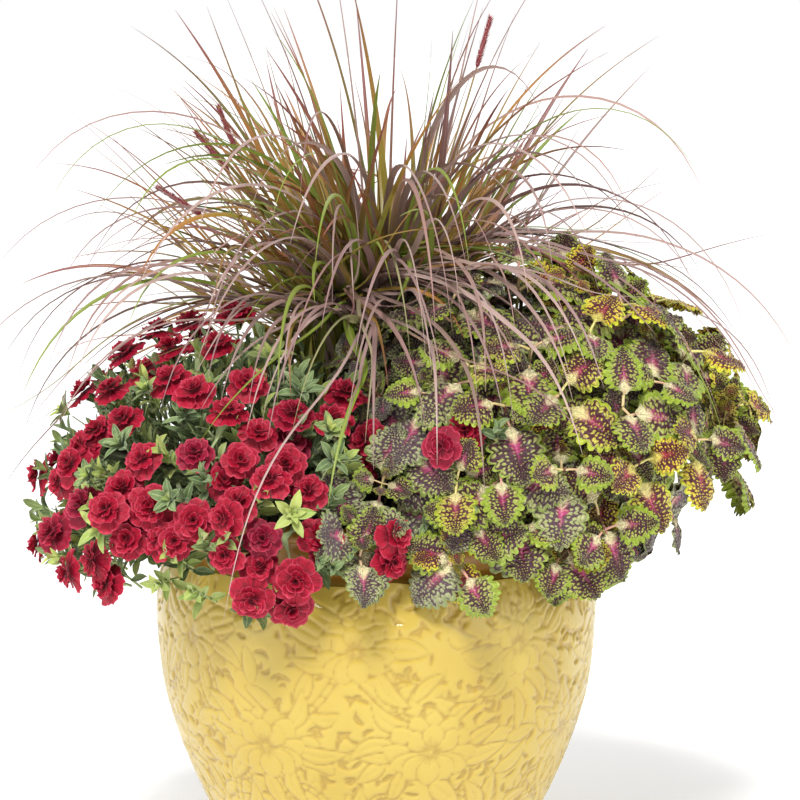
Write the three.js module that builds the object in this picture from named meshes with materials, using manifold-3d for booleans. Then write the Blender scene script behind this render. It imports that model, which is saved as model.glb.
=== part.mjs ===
// A summer planter: a glazed, carved pot of potting soil with three plants in it. Double calibrachoa
// spills over the left half, coleus over the right half, and a clump of purple fountain grass rises
// between them and arches over both. Millimetres, +Z up, the front faces -Y. The origin is the centre of
// the pot's base.
import * as THREE from "three";
import { mergeVertices } from "three/addons/utils/BufferGeometryUtils.js";
import Module from "manifold-3d";

const wasm = await Module();
wasm.setup();

// ---- Driving dimensions ----

// The pot's outside as [radius, height] points from base to ledge, then its plain neck and rolled rim.
const POT_OUTSIDE = [
  [118, 0], [137, 32], [154, 64], [171, 101], [185, 138], [196, 180], [202, 240], [200, 272], [194, 297],
];
const LEDGE_Z = 300;
const NECK_R = 184;
const RIM_Z = 345;
const RIM_ROLL = 8;
const WALL = 13;
const POT_FLOOR = 16;
const POT_SIDES = 28;
const DRAIN = { count: 3, radius: 9, circle: 62 };

const SOIL_Z = 324;
const SOIL_RISE = 10;
const GAP = 0.35; // between pieces that stand in or on each other
const CLEAR = 0.5; // kept round a leaf, stalk or blade where it passes another piece
const STEM_SEAT = 14; // how deep a stem stands in the soil

// Each flowering plant fills a mound: an ellipsoid with its centre, its half sizes and the plant's own
// place in the soil.
const CALIBRACHOA = { centre: v(-105, -15, 318), radii: v(208, 225, 200), crown: v(-84, -42, 0) };
const COLEUS = { centre: v(120, -5, 392), radii: v(222, 215, 180), crown: v(88, -36, 0) };
const OVER_THE_POT = { radius: 226, below: 372 }; // what hangs this low keeps this far from the pot's axis

// A double bloom: five petals to `radius`, notches between them to `notch`, a raised crest round a sunk
// centre.
const BLOOM = { radius: 20.5, notch: 16, petalRise: 2.2, centre: 3.2 };
const CREST = { radius: 9, low: 7, high: 8.6 };
const TUBE = { length: 11, radius: 1.8 };
const STALK_R = 1.3;
const SPRAY_R = 2.6;
const FORK_REACH = 66; // how far a stalk reaches to branch from a fork near by
const TUFT_LEAF = { length: 27, width: 10 };

const COLEUS_STEM_R = 2.6;
const STEM_RISE = 110; // how far a stem rises before it leans over
const SHOOT_TIP = 28; // the straight end of a shoot, where its leaves are
const COLEUS_LEAF = { length: 50, width: 47, thick: 1.3, petiole: 15 };

const GRASS = { crown: v(8, 62, 0), crownR: 40, crownTop: 46, width: 7.2, thick: 1.0, blades: 78 };
const GRASS_MARGIN = 24; // how far above the two mounds an arching blade rests
const PLUME = { length: 50, radius: 4.6 };

// ---- The planting plan ----
// Places given as [right, up] are millimetres from the ledge's centre, as seen from the front by an eye
// this far away and this far above level. They are put on the mound that the eye sees there.
const EYE = { distance: 3000, above: THREE.MathUtils.degToRad(9.3) };

const BLOOMS_SEEN = [
  [-200, 197], [-189, 181], [-216, 166], [-190, 153], [-166, 139], [-170, 205], [-129, 212],
  [-146, 185], [-118, 149], [-136, 123], [-244, 143], [-256, 105], [-232, 116], [-215, 79], [-167, 85],
  [-109, 105], [-125, 78], [-142, 64], [-290, 59], [-272, 73], [-270, 37], [-296, 13], [-232, 53],
  [-206, 33], [-235, 31], [-228, 6], [-199, 6], [-259, -13], [-250, -37], [-282, -23], [-83, 75],
  [-98, 57], [-63, 50], [-126, 40], [-137, 24], [-104, 6], [-107, -20], [-139, -9], [-54, 8],
  [-75, -31], [-76, -60], [-114, -47], [-29, 139], [-40, 115], [-78, 121], [-76, 103], [-8, 98],
  [-5, 79], [14, 15], [16, -11], [82, 107], [63, 91],
];
// Blooms on the far side, in rows: the mound's elevation in degrees and how many.
const BLOOM_ROWS = [[-1, 5], [17, 6], [37, 5], [57, 2]];
const ROW_SPAN = [72, 186];

const TUFTS_SEEN = [
  [-259, 63], [-233, 92], [-208, 139], [-180, 125], [-153, 112], [-249, 18], [-291, -8], [-187, 42],
  [-150, 6], [-116, -58], [-70, 139], [-98, 175], [-40, 78], [-78, 28], [-34, -8], [44, 20],
  [-47, 100], [-157, 157],
];
const TUFT_ROWS = [[4, 4], [28, 3], [46, 2]];
const TUFT_LEAVES = 5;

// Each coleus stem carries these rosettes of leaves, the first at its own end and the others on side
// shoots.
const COLEUS_STEMS_SEEN = [
  [[68, 226], [86, 169], [50, 142]],
  [[132, 256], [142, 185], [119, 132]],
  [[183, 261], [197, 199], [169, 142]],
  [[229, 226], [229, 130]],
  [[291, 183], [257, 155]],
  [[337, 132], [298, 100]],
  [[243, 77], [211, 10]],
  [[22, 98], [6, 47]],
  [[114, 70], [73, 61]],
  [[68, -22], [86, 19]],
  [[174, 72], [132, 15]],
  [[169, -13]],
  [[-13, -13]],
];
// The same on the far side: [azimuth, elevation] on the mound, in degrees.
const COLEUS_STEMS_BEHIND = [
  [[12, -8], [22, 22]],
  [[48, -10], [58, 18], [40, 44]],
  [[84, -8], [88, 20], [78, 46]],
  [[20, 48], [2, 18]],
];

// Where each calibrachoa spray ends: [azimuth, elevation] on the mound, in degrees.
const SPRAYS = [[88, -4], [130, 10], [168, 30], [190, 0], [212, 34], [232, 4], [258, 28], [292, 18]];
const SPRAY_DEPTH = 0.8; // a spray's stem stays this share of the way out from the mound's centre
const SPRAYS_SEEN = [[58, 84]]; // sprays that have grown into the coleus

const CULMS = [
  { base: [-134, 343], tip: [-159, 374], back: 40 },
  { base: [-158, 303], tip: [-191, 323], back: 20 },
  { base: [-125, 366], tip: [-138, 398], back: 90 },
  { base: [91, 440], tip: [101, 476], back: 60 },
];

// Where each kind's random draws start.
const SEEDS = { bloom: 100, row: 500, rosette: 1000, tuft: 2000, backTuft: 2100, blade: 3000 };

// ---- Small helpers ----

function v(x, y, z) {
  return new THREE.Vector3(x, y, z);
}
const UP = v(0, 0, 1);
const rad = THREE.MathUtils.degToRad;
const smooth = (x, low, high) => THREE.MathUtils.smoothstep(x, low, high);
const sum = (...points) => points.reduce((total, p) => total.add(p), v(0, 0, 0));
const times = (p, k) => p.clone().multiplyScalar(k);
const middle = (points) => times(sum(...points), 1 / points.length);

// Numbers between low and high that look random and are the same each time for one seed.
function seeded(seed) {
  let state = Math.imul(seed + 1, 2654435761) >>> 0;
  return (low, high) => {
    state = (Math.imul(state, 1664525) + 1013904223) >>> 0;
    return low + (high - low) * (state / 4294967296);
  };
}

// Two directions that stand square to a given one and to each other.
function across(axis) {
  const helper = Math.abs(axis.z) < 0.9 ? UP : v(1, 0, 0);
  const first = helper.clone().cross(axis).normalize();
  return [first, axis.clone().cross(first)];
}

// ---- Solids ----

// A closed solid from points and triangles, turned to face out.
function solid(points, faces) {
  const sixTimes = ([a, b, c]) => points[a].dot(points[b].clone().cross(points[c]));
  const volume = faces.reduce((total, face) => total + sixTimes(face), 0);
  const outward = volume < 0 ? faces.map(([a, b, c]) => [a, c, b]) : faces;
  return new wasm.Manifold(new wasm.Mesh({
    numProp: 3,
    vertProperties: new Float32Array(points.flatMap((p) => p.toArray())),
    triVerts: new Uint32Array(outward.flat()),
  }));
}

// A solid through rings of points. A ring of one point is a tip, and neighbours may differ in number of
// points.
function loft(rings) {
  const points = rings.flat();
  const faces = [];
  const starts = rings.map((ring, i) => rings.slice(0, i).reduce((n, r) => n + r.length, 0));
  for (let k = 0; k + 1 < rings.length; k++) {
    const [na, nb] = [rings[k].length, rings[k + 1].length];
    const [a, b] = [starts[k], starts[k + 1]];
    let i = 0;
    let j = 0;
    const steps = (na > 1 ? na : 0) + (nb > 1 ? nb : 0);
    for (let step = 0; step < steps; step++) {
      const alongA = nb === 1 || (na > 1 && (i + 1) / na <= (j + 1) / nb + 1e-9);
      if (alongA) {
        faces.push([a + (i % na), a + ((i + 1) % na), b + (j % nb)]);
        i++;
      } else {
        faces.push([a + (i % na), b + ((j + 1) % nb), b + (j % nb)]);
        j++;
      }
    }
  }
  for (let i = 1; i + 1 < rings[0].length; i++) faces.push([0, i + 1, i]);
  const last = starts.at(-1);
  for (let i = 1; i + 1 < rings.at(-1).length; i++) faces.push([last, last + i, last + i + 1]);
  return solid(points, faces);
}

// A bar along points, with one radius for each point. Its sides keep to one level direction, so it never
// twists.
function bar(points, radii, sides = 3) {
  const run = points.at(-1).clone().sub(points[0]);
  const level = Math.hypot(run.x, run.y) > 1 ? v(-run.y, run.x, 0).normalize() : v(1, 0, 0);
  return loft(points.map((p, i) => {
    const [before, after] = [points[Math.max(i - 1, 0)], points[Math.min(i + 1, points.length - 1)]];
    const other = after.clone().sub(before).cross(level).normalize();
    return Array.from({ length: sides }, (_, k) => {
      const turn = (2 * Math.PI * k) / sides;
      return sum(p, times(level, radii[i] * Math.cos(turn)), times(other, radii[i] * Math.sin(turn)));
    });
  }));
}

// A solid of revolution about +Z from [radius, height] points.
function turned(profile, sides) {
  const lathe = new THREE.LatheGeometry(profile.map(([r, z]) => new THREE.Vector2(r, z)), sides);
  lathe.rotateX(Math.PI / 2);
  lathe.deleteAttribute("normal");
  lathe.deleteAttribute("uv");
  const merged = mergeVertices(lathe, 1e-3);
  const index = Array.from(merged.index.array);
  const faces = [];
  for (let i = 0; i < index.length; i += 3) {
    const [a, b, c] = index.slice(i, i + 3);
    if (a !== b && b !== c && c !== a) faces.push([a, b, c]);
  }
  const position = merged.attributes.position;
  const corner = (_, i) => v(0, 0, 0).fromBufferAttribute(position, i);
  const points = Array.from({ length: position.count }, corner);
  return solid(points, faces);
}

// ---- What stands where ----

// Every piece made so far with its node, so that a new one can be tried against them.
const pieces = [];

function add(node, made) {
  pieces.push({ node, made, box: made.boundingBox() });
  return pieces.at(-1);
}

const below = (a, b) => a.max.some((high, i) => high < b.min[i]);
const boxesApart = (a, b) => below(a, b) || below(b, a);

// Whether a solid keeps clear of every piece for which `matters` holds.
function keepsClear(made, matters) {
  const box = made.boundingBox();
  return pieces.every((p) => !matters(p) || boxesApart(p.box, box) || p.made.intersect(made).isEmpty());
}

// The first variant, of so many, whose solid keeps clear of everything, or the very first.
function firstClear(variants, make) {
  const found = Array.from({ length: variants }, (_, k) => k).find((k) => keepsClear(make(k), () => true));
  return found ?? 0;
}

// Tries each variant in turn: make(k, room) builds it with that much room round it. It may cross its
// friends. If all variants cross something, one that crosses only its own node is added, and joins what
// it crosses.
function addFirstThatFits(node, variants, make, friends = []) {
  for (const matters of [(p) => !friends.includes(p), (p) => p.node !== node]) {
    for (let k = 0; k < variants; k++) {
      if (keepsClear(make(k, CLEAR), matters)) return add(node, make(k, 0));
    }
  }
  return null;
}

function moundNormal({ centre, radii }, p) {
  return p.clone().sub(centre).divide(radii).divide(radii).normalize();
}

// Moves a point out from the pot's axis where it would hang against the pot.
function clearOfPot(p) {
  const r = Math.hypot(p.x, p.y);
  if (p.z > OVER_THE_POT.below || r > OVER_THE_POT.radius) return p;
  const k = OVER_THE_POT.radius / r;
  return v(p.x * k, p.y * k, p.z);
}

// The point of a mound in a direction given in degrees, and the mound's normal there.
function onMound(mound, azimuth, elevation, depth = 1) {
  const [a, e] = [rad(azimuth), rad(elevation)];
  const out = v(Math.cos(a) * Math.cos(e), Math.sin(a) * Math.cos(e), Math.sin(e)).multiply(mound.radii);
  const point = sum(mound.centre, times(out, depth));
  return { point: clearOfPot(point), normal: moundNormal(mound, point) };
}

// The point of either mound that the eye sees at (right, up), and the mound's normal there.
function seen(right, up) {
  const [c, s] = [Math.cos(EYE.above), Math.sin(EYE.above)];
  const eye = v(0, -EYE.distance * c, LEDGE_Z + EYE.distance * s);
  const ray = v(right, up * s, LEDGE_Z + up * c).sub(eye);
  const hits = [CALIBRACHOA, COLEUS].map((mound) => {
    const from = eye.clone().sub(mound.centre).divide(mound.radii);
    const along = ray.clone().divide(mound.radii);
    const [a, b] = [along.lengthSq(), from.dot(along)];
    const inside = b * b - a * (from.lengthSq() - 1);
    return { mound, miss: Math.max(-inside, 0), t: (-b - Math.sqrt(Math.max(inside, 0))) / a };
  });
  hits.sort((p, q) => p.miss - q.miss || p.t - q.t);
  const point = sum(eye, times(ray, hits[0].t));
  return { point: clearOfPot(point), normal: moundNormal(hits[0].mound, point) };
}

// Whether a place is too near the grass, whose blades widen upwards from their crown.
function amongGrass(p) {
  return Math.hypot(p.x - GRASS.crown.x, p.y - GRASS.crown.y) < 60 + 0.42 * Math.max(p.z - RIM_Z, 0);
}

// ---- The pot and its soil ----

// The pot's inner wall from its floor to its mouth: three rings follow the belly, with room to spare
// where asked.
function insideWall(room) {
  const at = (z) => {
    const above = POT_OUTSIDE.findIndex(([, height]) => height >= z);
    const [[r0, z0], [r1, z1]] = [POT_OUTSIDE[above - 1], POT_OUTSIDE[above]];
    return r0 + ((z - z0) / (z1 - z0)) * (r1 - r0);
  };
  const belly = [POT_FLOOR, 0.32 * LEDGE_Z, 0.66 * LEDGE_Z].map((z) => [at(z) - WALL - room, z]);
  return [...belly, [NECK_R - WALL - room, LEDGE_Z - 8]];
}

function pot() {
  const profile = [
    [0, 0], ...POT_OUTSIDE, [NECK_R, LEDGE_Z + 2], [NECK_R, RIM_Z - 14],
    [NECK_R + RIM_ROLL, RIM_Z - 7], [NECK_R + RIM_ROLL - 3, RIM_Z], [NECK_R - RIM_ROLL, RIM_Z],
    [NECK_R - WALL, RIM_Z - 8], ...insideWall(0).reverse(), [0, POT_FLOOR],
  ];
  let made = turned(profile, POT_SIDES);
  for (let k = 0; k < DRAIN.count; k++) {
    const turn = (2 * Math.PI * k) / DRAIN.count;
    const at = (z) => v(DRAIN.circle * Math.cos(turn), DRAIN.circle * Math.sin(turn), z);
    made = made.subtract(bar([at(-5), at(POT_FLOOR + 5)], [DRAIN.radius, DRAIN.radius], 10));
  }
  return made;
}

const soilTop = (x, y) => SOIL_Z + SOIL_RISE * (1 - Math.hypot(x, y) / (NECK_R - WALL));

// The soil fills the pot to just under its rim and is highest in the middle. Each stem stands in a plain
// hole.
function soil(holes) {
  const room = 3 * GAP;
  const [floor, ...wall] = insideWall(room);
  const profile = [
    [0, POT_FLOOR + GAP], [floor[0], POT_FLOOR + GAP], ...wall, [NECK_R - WALL - room, SOIL_Z],
    [0, SOIL_Z + SOIL_RISE],
  ];
  return holes.reduce((made, hole) => made.subtract(hole), turned(profile, POT_SIDES));
}

// A stem's foot in the soil and the hole that it stands in.
function footing(at, radius, sides) {
  const foot = v(at.x, at.y, soilTop(at.x, at.y) - STEM_SEAT);
  const wide = (radius + GAP) / Math.cos(Math.PI / sides);
  const hole = bar([sum(foot, v(0, 0, -GAP)), sum(foot, v(0, 0, 60))], [wide, wide], sides);
  return { foot, hole };
}

// ---- Calibrachoa ----

// How a bloom finds room among its neighbours: [outwards, more tilt one way, more tilt the other way].
const BLOOM_TRIES = [
  [0, 0, 0], [4, 0, 0], [-4, 0, 0], [8, 0, 0], [-8, 0, 0], [5, 0.35, 0], [5, -0.35, 0], [5, 0, 0.35],
  [5, 0, -0.35], [-5, 0.4, 0], [-5, -0.4, 0], [-5, 0, 0.4], [-5, 0, -0.4], [12, 0, 0], [-12, 0, 0],
  [14, 0.4, 0.4], [14, -0.4, -0.4], [18, 0, 0], [-18, 0, 0], [22, 0.3, 0.3], [26, 0, 0],
];

// A double bloom's axis, the foot of its tube and its rings: that foot, the tips of five petals with the
// notches between them, a raised inner ring of five and the centre.
function bloomForm({ point: place, normal }, seed, [out, moreTilt, moreLean]) {
  const draw = seeded(seed);
  const tilt = draw(-0.3, 0.3) + moreTilt;
  const lean = draw(-0.3, 0.3) + moreLean;
  const point = place.clone().addScaledVector(normal, out);
  const [u, w] = across(normal);
  const axis = sum(normal, times(UP, 0.18), times(u, tilt), times(w, lean)).normalize();
  const [side, other] = across(axis);
  const size = draw(0.88, 1.08);
  const roll = draw(0, 2 * Math.PI);
  const ring = (count, shape) => Array.from({ length: count }, (_, k) => {
    const [r, h] = shape(k);
    const turn = (2 * Math.PI * k) / count + roll;
    const spoke = sum(times(side, Math.cos(turn)), times(other, Math.sin(turn)));
    return sum(point, times(spoke, size * r), times(axis, size * h));
  });
  const rings = [
    ring(3, () => [TUBE.radius, -TUBE.length]),
    ring(10, (k) => (k % 2 ? [BLOOM.radius, BLOOM.petalRise] : [BLOOM.notch, 0])),
    ring(5, (k) => [CREST.radius, k % 2 ? CREST.high : CREST.low]),
    ring(1, () => [0, BLOOM.centre]),
  ];
  return { rings, axis, foot: middle(rings[0]) };
}

// Places along the sprays' stems, between the points where these bend, the nearest first.
function placesOnSprays(sprays, from) {
  const places = sprays.flatMap((spray) => spray.line.slice(1).flatMap((point, i) => (
    [0.35, 0.65].map((t) => ({ ...spray, point: spray.line[i].clone().lerp(point, t) })))));
  return places.sort((a, b) => a.point.distanceTo(from) - b.point.distanceTo(from));
}

const MOST_SLANTED = 0.2; // the least cosine between a stalk and the axis of its bloom or tuft
const KNEES = [0, 14, 28]; // a stalk runs this far behind its bloom before it turns

// Gives each bloom its stalk, the lower end of its tube drawn out. It branches from a fork near by, or
// else it starts a new fork on a spray's stem and ends just short of that stem.
function growForks(blooms, sprays) {
  const distance = (one) => placesOnSprays(sprays, one.foot)[0].point.distanceTo(one.foot);
  const branches = [];
  let forks = 0;
  for (const one of [...blooms].sort((a, b) => distance(a) - distance(b))) {
    const { foot, axis, rings } = one;
    const near = branches.filter(({ point }) => point.distanceTo(foot) < FORK_REACH);
    near.sort((a, b) => a.point.distanceTo(foot) - b.point.distanceTo(foot));
    const places = [...near, ...placesOnSprays(sprays, foot)];
    const ways = KNEES.flatMap((back) => {
      const knee = foot.clone().addScaledVector(axis, -back);
      return places.map((place) => ({ ...place, knee }));
    });
    const way = ways.find(({ point, stem, knee }) => {
      const straight = knee.clone().sub(point).normalize().dot(axis);
      const line = knee.equals(foot) ? [foot, point] : [foot, knee, point];
      const room = bar(line, line.map(() => STALK_R + CLEAR));
      return straight > MOST_SLANTED && keepsClear(room, (p) => p !== one.head && p !== stem);
    });
    pieces.splice(pieces.indexOf(one.head), 1);
    if (!way) continue;
    const node = way.sleeve ? forkName(forks++) : way.node;
    const moved = (to, share) => rings[0].map((p) => sum(times(p.clone().sub(foot), share), to));
    const knee = way.knee.equals(foot) ? [] : [moved(way.knee, 0.9)];
    const made = loft([moved(way.point, 0.5), ...knee, ...rings]);
    const stem = add(node, way.sleeve ? made.subtract(way.sleeve) : made);
    const length = way.knee.distanceTo(way.point);
    for (let d = 5; d < length - 7; d += 4) {
      branches.push({ node, stem, point: way.knee.clone().lerp(way.point, d / length) });
    }
  }
}

const LEAST_OPEN = 0.72; // the least angle between a leaf and its tuft's axis

// How a tuft finds room: [outwards, share of its size, how much more its leaves close].
const TUFT_TRIES = [
  [0, 1, 0], [5, 1, 0.2], [-6, 0.9, 0.2], [-12, 0.85, 0.3], [8, 0.8, 0.5], [-16, 0.7, 0.5], [14, 0.8, 0.6],
];

// A tuft of narrow leaves round the end of a stalk, in one solid: each leaf is pointed and widest past
// its middle.
function tuft(sprays, { point, normal }, seed) {
  const draw = seeded(seed);
  const [u, w] = across(normal);
  const first = draw(0, 2 * Math.PI);
  const opening = draw(0.85, 1.15);
  const size = TUFT_LEAF.length * draw(0.85, 1.1);
  const lifts = Array.from({ length: TUFT_LEAVES }, () => draw(-0.28, 0.28));
  for (const [out, share, close] of TUFT_TRIES) {
    const hub = point.clone().addScaledVector(normal, out - 8);
    const at = (turn, open, r) => sum(hub, times(normal, r * Math.cos(open)),
      times(u, r * Math.sin(open) * Math.cos(turn)), times(w, r * Math.sin(open) * Math.sin(turn)));
    const length = size * share;
    const half = TUFT_LEAF.width / TUFT_LEAF.length / 1.2;
    const rim = lifts.flatMap((lift, k) => {
      const turn = first + (2 * Math.PI * k) / TUFT_LEAVES;
      const open = Math.max(opening + lift - close, LEAST_OPEN);
      const notch = at(turn - Math.PI / TUFT_LEAVES, 1.2, 2.2);
      return [notch, at(turn - half, open, 0.6 * length), at(turn, open + 0.1, length),
        at(turn + half, open, 0.6 * length)];
    });
    const under = [0, 1, 2].map((k) => {
      const turn = first + (2 * Math.PI * (k + 0.5)) / 3 - Math.PI / TUFT_LEAVES;
      return at(turn, Math.PI / 2, 1.2).addScaledVector(normal, -2);
    });
    const behind = ({ point: place }) => hub.clone().sub(place).normalize().dot(normal) > MOST_SLANTED;
    for (const { node, stem, point: place } of placesOnSprays(sprays, hub).filter(behind).slice(0, 12)) {
      const foot = under.map((p) => sum(p, times(hub, -1), place));
      const leaves = loft([foot, under, rim, [sum(hub, times(normal, 2))]]);
      if (keepsClear(leaves, (p) => p !== stem)) {
        add(node, leaves);
        return;
      }
    }
  }
}

// A stem's line from its foot in the soil, upright at first, over the pot's rim and straight at its end.
function stemLine(foot, end, axis, rise, count) {
  const start = sum(foot, v(0, 0, 24));
  const straight = sum(end, times(axis, -SHOOT_TIP));
  const reach = times(axis, -Math.min(50, 0.3 * foot.distanceTo(end)));
  const upright = sum(foot, v(0, 0, rise));
  const curve = new THREE.CubicBezierCurve3(start, upright, sum(straight, reach), straight);
  return [foot, ...curve.getPoints(count), end];
}

// How a shoot points at its end: outwards and up where it is high, hanging where it is low.
function shootAxis({ point, normal }) {
  const lift = THREE.MathUtils.clamp((point.z - 370) / 50, -2, 0.6);
  return sum(normal, times(UP, lift)).normalize();
}

const SPRAY_TRIES = 24;

const forkName = (k) => `calibrachoa_blooms_${String(k + 1).padStart(2, "0")}`;

// Places in rows round the far side of the calibrachoa's mound, but not among the grass.
function inRows(table, seed) {
  const [from, to] = ROW_SPAN;
  const row = ([elevation, count], r) => Array.from({ length: count }, (_, k) => {
    const draw = seeded(seed + 40 * r + k);
    const share = (k + 0.5 + 0.3 * (r % 2)) / count;
    return onMound(CALIBRACHOA, from + share * (to - from) + draw(-4, 4), elevation + draw(-5, 5));
  });
  return table.flatMap(row).filter(({ point }) => !amongGrass(point));
}

// The blooms' heads, each in its place or the nearest free one.
function bloomHeads() {
  const places = [...BLOOMS_SEEN.map((place) => seen(...place)), ...inRows(BLOOM_ROWS, SEEDS.row)];
  return places.map((place, k) => {
    const tries = BLOOM_TRIES.map((change) => {
      const form = bloomForm(place, SEEDS.bloom + k, change);
      return { ...form, made: loft(form.rings) };
    });
    const kept = tries.find(({ made }) => keepsClear(made, () => true)) ?? tries[0];
    return { ...kept, head: add(`bloom ${k}`, kept.made) };
  });
}

function calibrachoa() {
  const blooms = bloomHeads();
  const ends = [
    ...SPRAYS.map((place) => onMound(CALIBRACHOA, ...place, SPRAY_DEPTH)),
    ...SPRAYS_SEEN.map((place) => seen(...place)).map(({ point, normal }) => (
      { point: point.clone().addScaledVector(normal, -38), normal })),
  ];
  const sprays = ends.map((place, k) => {
    const turn = Math.atan2(place.point.y - CALIBRACHOA.crown.y, place.point.x - CALIBRACHOA.crown.x);
    const at = sum(CALIBRACHOA.crown, v(26 * Math.cos(turn), 26 * Math.sin(turn), 0));
    const { foot, hole } = footing(at, SPRAY_R, 4);
    const node = `calibrachoa_spray_${k + 1}`;
    const lineOf = (variant) => {
      const end = place.point.clone().addScaledVector(place.normal, -5 * Math.floor(variant / 4));
      return stemLine(foot, end, shootAxis(place), STEM_RISE + 25 * (variant % 4), 5);
    };
    const make = (line, room) => bar(line, line.map((_, i) => SPRAY_R - 0.12 * i + room), 4);
    const line = lineOf(firstClear(SPRAY_TRIES, (variant) => make(lineOf(variant), CLEAR)));
    return { node, hole, stem: add(node, make(line, 0)), line: line.slice(2), sleeve: make(line, GAP) };
  });
  growForks(blooms, sprays);
  return sprays;
}

// ---- Coleus ----

// Half of a leaf's edge as [share of its length, share of its half width], in and out for its rounded
// teeth.
const LEAF_EDGE = [[0.12, 0.72], [0.42, 1], [0.76, 0.72]];

// A scalloped leaf with its petiole: root is inside the stem, base is where the blade starts.
function coleusLeaf(root, base, along, face, size, room) {
  const side = face.clone().cross(along).normalize();
  const [length, width] = [COLEUS_LEAF.length * size, COLEUS_LEAF.width * size];
  const half = COLEUS_LEAF.thick / 2 + room;
  const at = (t, y, h) => {
    const sag = -0.16 * length * t * t - 0.1 * width * y * y * 0.5;
    return sum(base, times(along, t * length), times(side, (y * width) / 2), times(face, sag + h));
  };
  const edge = (sign) => LEAF_EDGE.map(([t, y]) => at(t, sign * y, 0));
  const stalkHalf = (1.1 + room) / (width / 2);
  const points = [
    root, at(0, -stalkHalf, half), at(0, stalkHalf, half), at(0, 0, -half - 1), at(0.5, 0, half),
    at(0.5, 0, -half), at(1, 0, 0), ...edge(-1), ...edge(1),
  ];
  const [ROOT, LEFT, RIGHT, BASE, RIB, UNDER, TIP, EDGE] = [0, 1, 2, 3, 4, 5, 6, 7];
  const faces = [[ROOT, LEFT, RIGHT], [ROOT, RIGHT, BASE], [ROOT, BASE, LEFT], [RIB, RIGHT, LEFT]];
  for (const [corner, first, order] of [[LEFT, EDGE, 1], [RIGHT, EDGE + LEAF_EDGE.length, -1]]) {
    const rim = [corner, ...LEAF_EDGE.map((_, i) => first + i), TIP];
    for (let i = 0; i + 1 < rim.length; i++) {
      const [a, b] = order > 0 ? [rim[i], rim[i + 1]] : [rim[i + 1], rim[i]];
      faces.push([RIB, a, b], [i ? UNDER : BASE, b, a]);
    }
    faces.push(order > 0 ? [BASE, UNDER, rim[1]] : [BASE, rim[1], UNDER]);
  }
  return solid(points, faces);
}

// What each try changes, so that a leaf finds its way between its neighbours: turn, opening and size.
const LEAF_TRIES = [
  [0, 0, 1], [0.22, 0, 1], [-0.22, 0, 1], [0, -0.3, 1], [0.42, 0, 0.95], [-0.42, 0, 0.95],
  [0.2, -0.45, 0.9], [-0.2, -0.45, 0.9], [0, 0.25, 0.88], [0.6, 0, 0.85], [-0.6, 0, 0.85],
  [0.4, -0.6, 0.8], [-0.4, -0.6, 0.8], [0, -0.8, 0.75], [0.5, 0.3, 0.7], [-0.5, 0.3, 0.7],
  [0.8, -0.3, 0.65], [-0.8, -0.3, 0.65], [0, -0.9, 0.6],
];

// Two crossed pairs of leaves at the end of a shoot. They open round the way that the mound faces there,
// or a little above level where that is down, so that their blades lie on the mound like tiles.
function rosette(node, { point: end, normal, shoot }, axis, seed) {
  const draw = seeded(seed);
  const friends = [shoot];
  const facing = sum(normal, times(UP, 0.25));
  facing.z = Math.max(facing.z, 0.2);
  facing.normalize();
  const [u, w] = across(facing);
  const first = draw(0, Math.PI);
  for (let pair = 0; pair < 2; pair++) {
    const opening = pair ? 1.0 : 1.32;
    const share = (pair ? 0.74 : 1) * draw(0.9, 1.1);
    const root = end.clone().addScaledVector(axis, pair ? -5 : -SHOOT_TIP + 7);
    for (let leaf = 0; leaf < 2; leaf++) {
      const turn = first + (pair + 2 * leaf) * (Math.PI / 2) + draw(-0.15, 0.15);
      const kept = addFirstThatFits(node, LEAF_TRIES.length, (k, room) => {
        const [swing, close, scale] = LEAF_TRIES[k];
        const spread = sum(times(u, Math.cos(turn + swing)), times(w, Math.sin(turn + swing)));
        const open = opening + close;
        const along = sum(
          times(spread, Math.sin(open)),
          times(facing, Math.cos(open)),
          times(UP, -0.25),
        ).normalize();
        const face = facing.clone().addScaledVector(along, -facing.dot(along)).normalize();
        const size = share * scale;
        const lean = sum(times(spread, 0.8), times(facing, 0.6)).normalize();
        const base = root.clone().addScaledVector(lean, COLEUS_LEAF.petiole * size);
        return coleusLeaf(root, base, along, face, size, room);
      }, friends);
      if (kept) friends.push(kept);
    }
  }
}

const STEM_TRIES = 15;
const LEAST_STRAIGHT = 0.15; // the least cosine between the two stretches of a side shoot

// The places on a stem's line, the highest first, where a side shoot can leave it without bending back on
// itself.
function forksAlong(line, bend, axis) {
  const forks = line.slice(1, -2).map((p, i) => p.clone().lerp(line[i + 2], 0.5)).reverse();
  const straight = forks.filter((fork) => bend.clone().sub(fork).normalize().dot(axis) > LEAST_STRAIGHT);
  return straight.length ? straight : forks;
}

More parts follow.
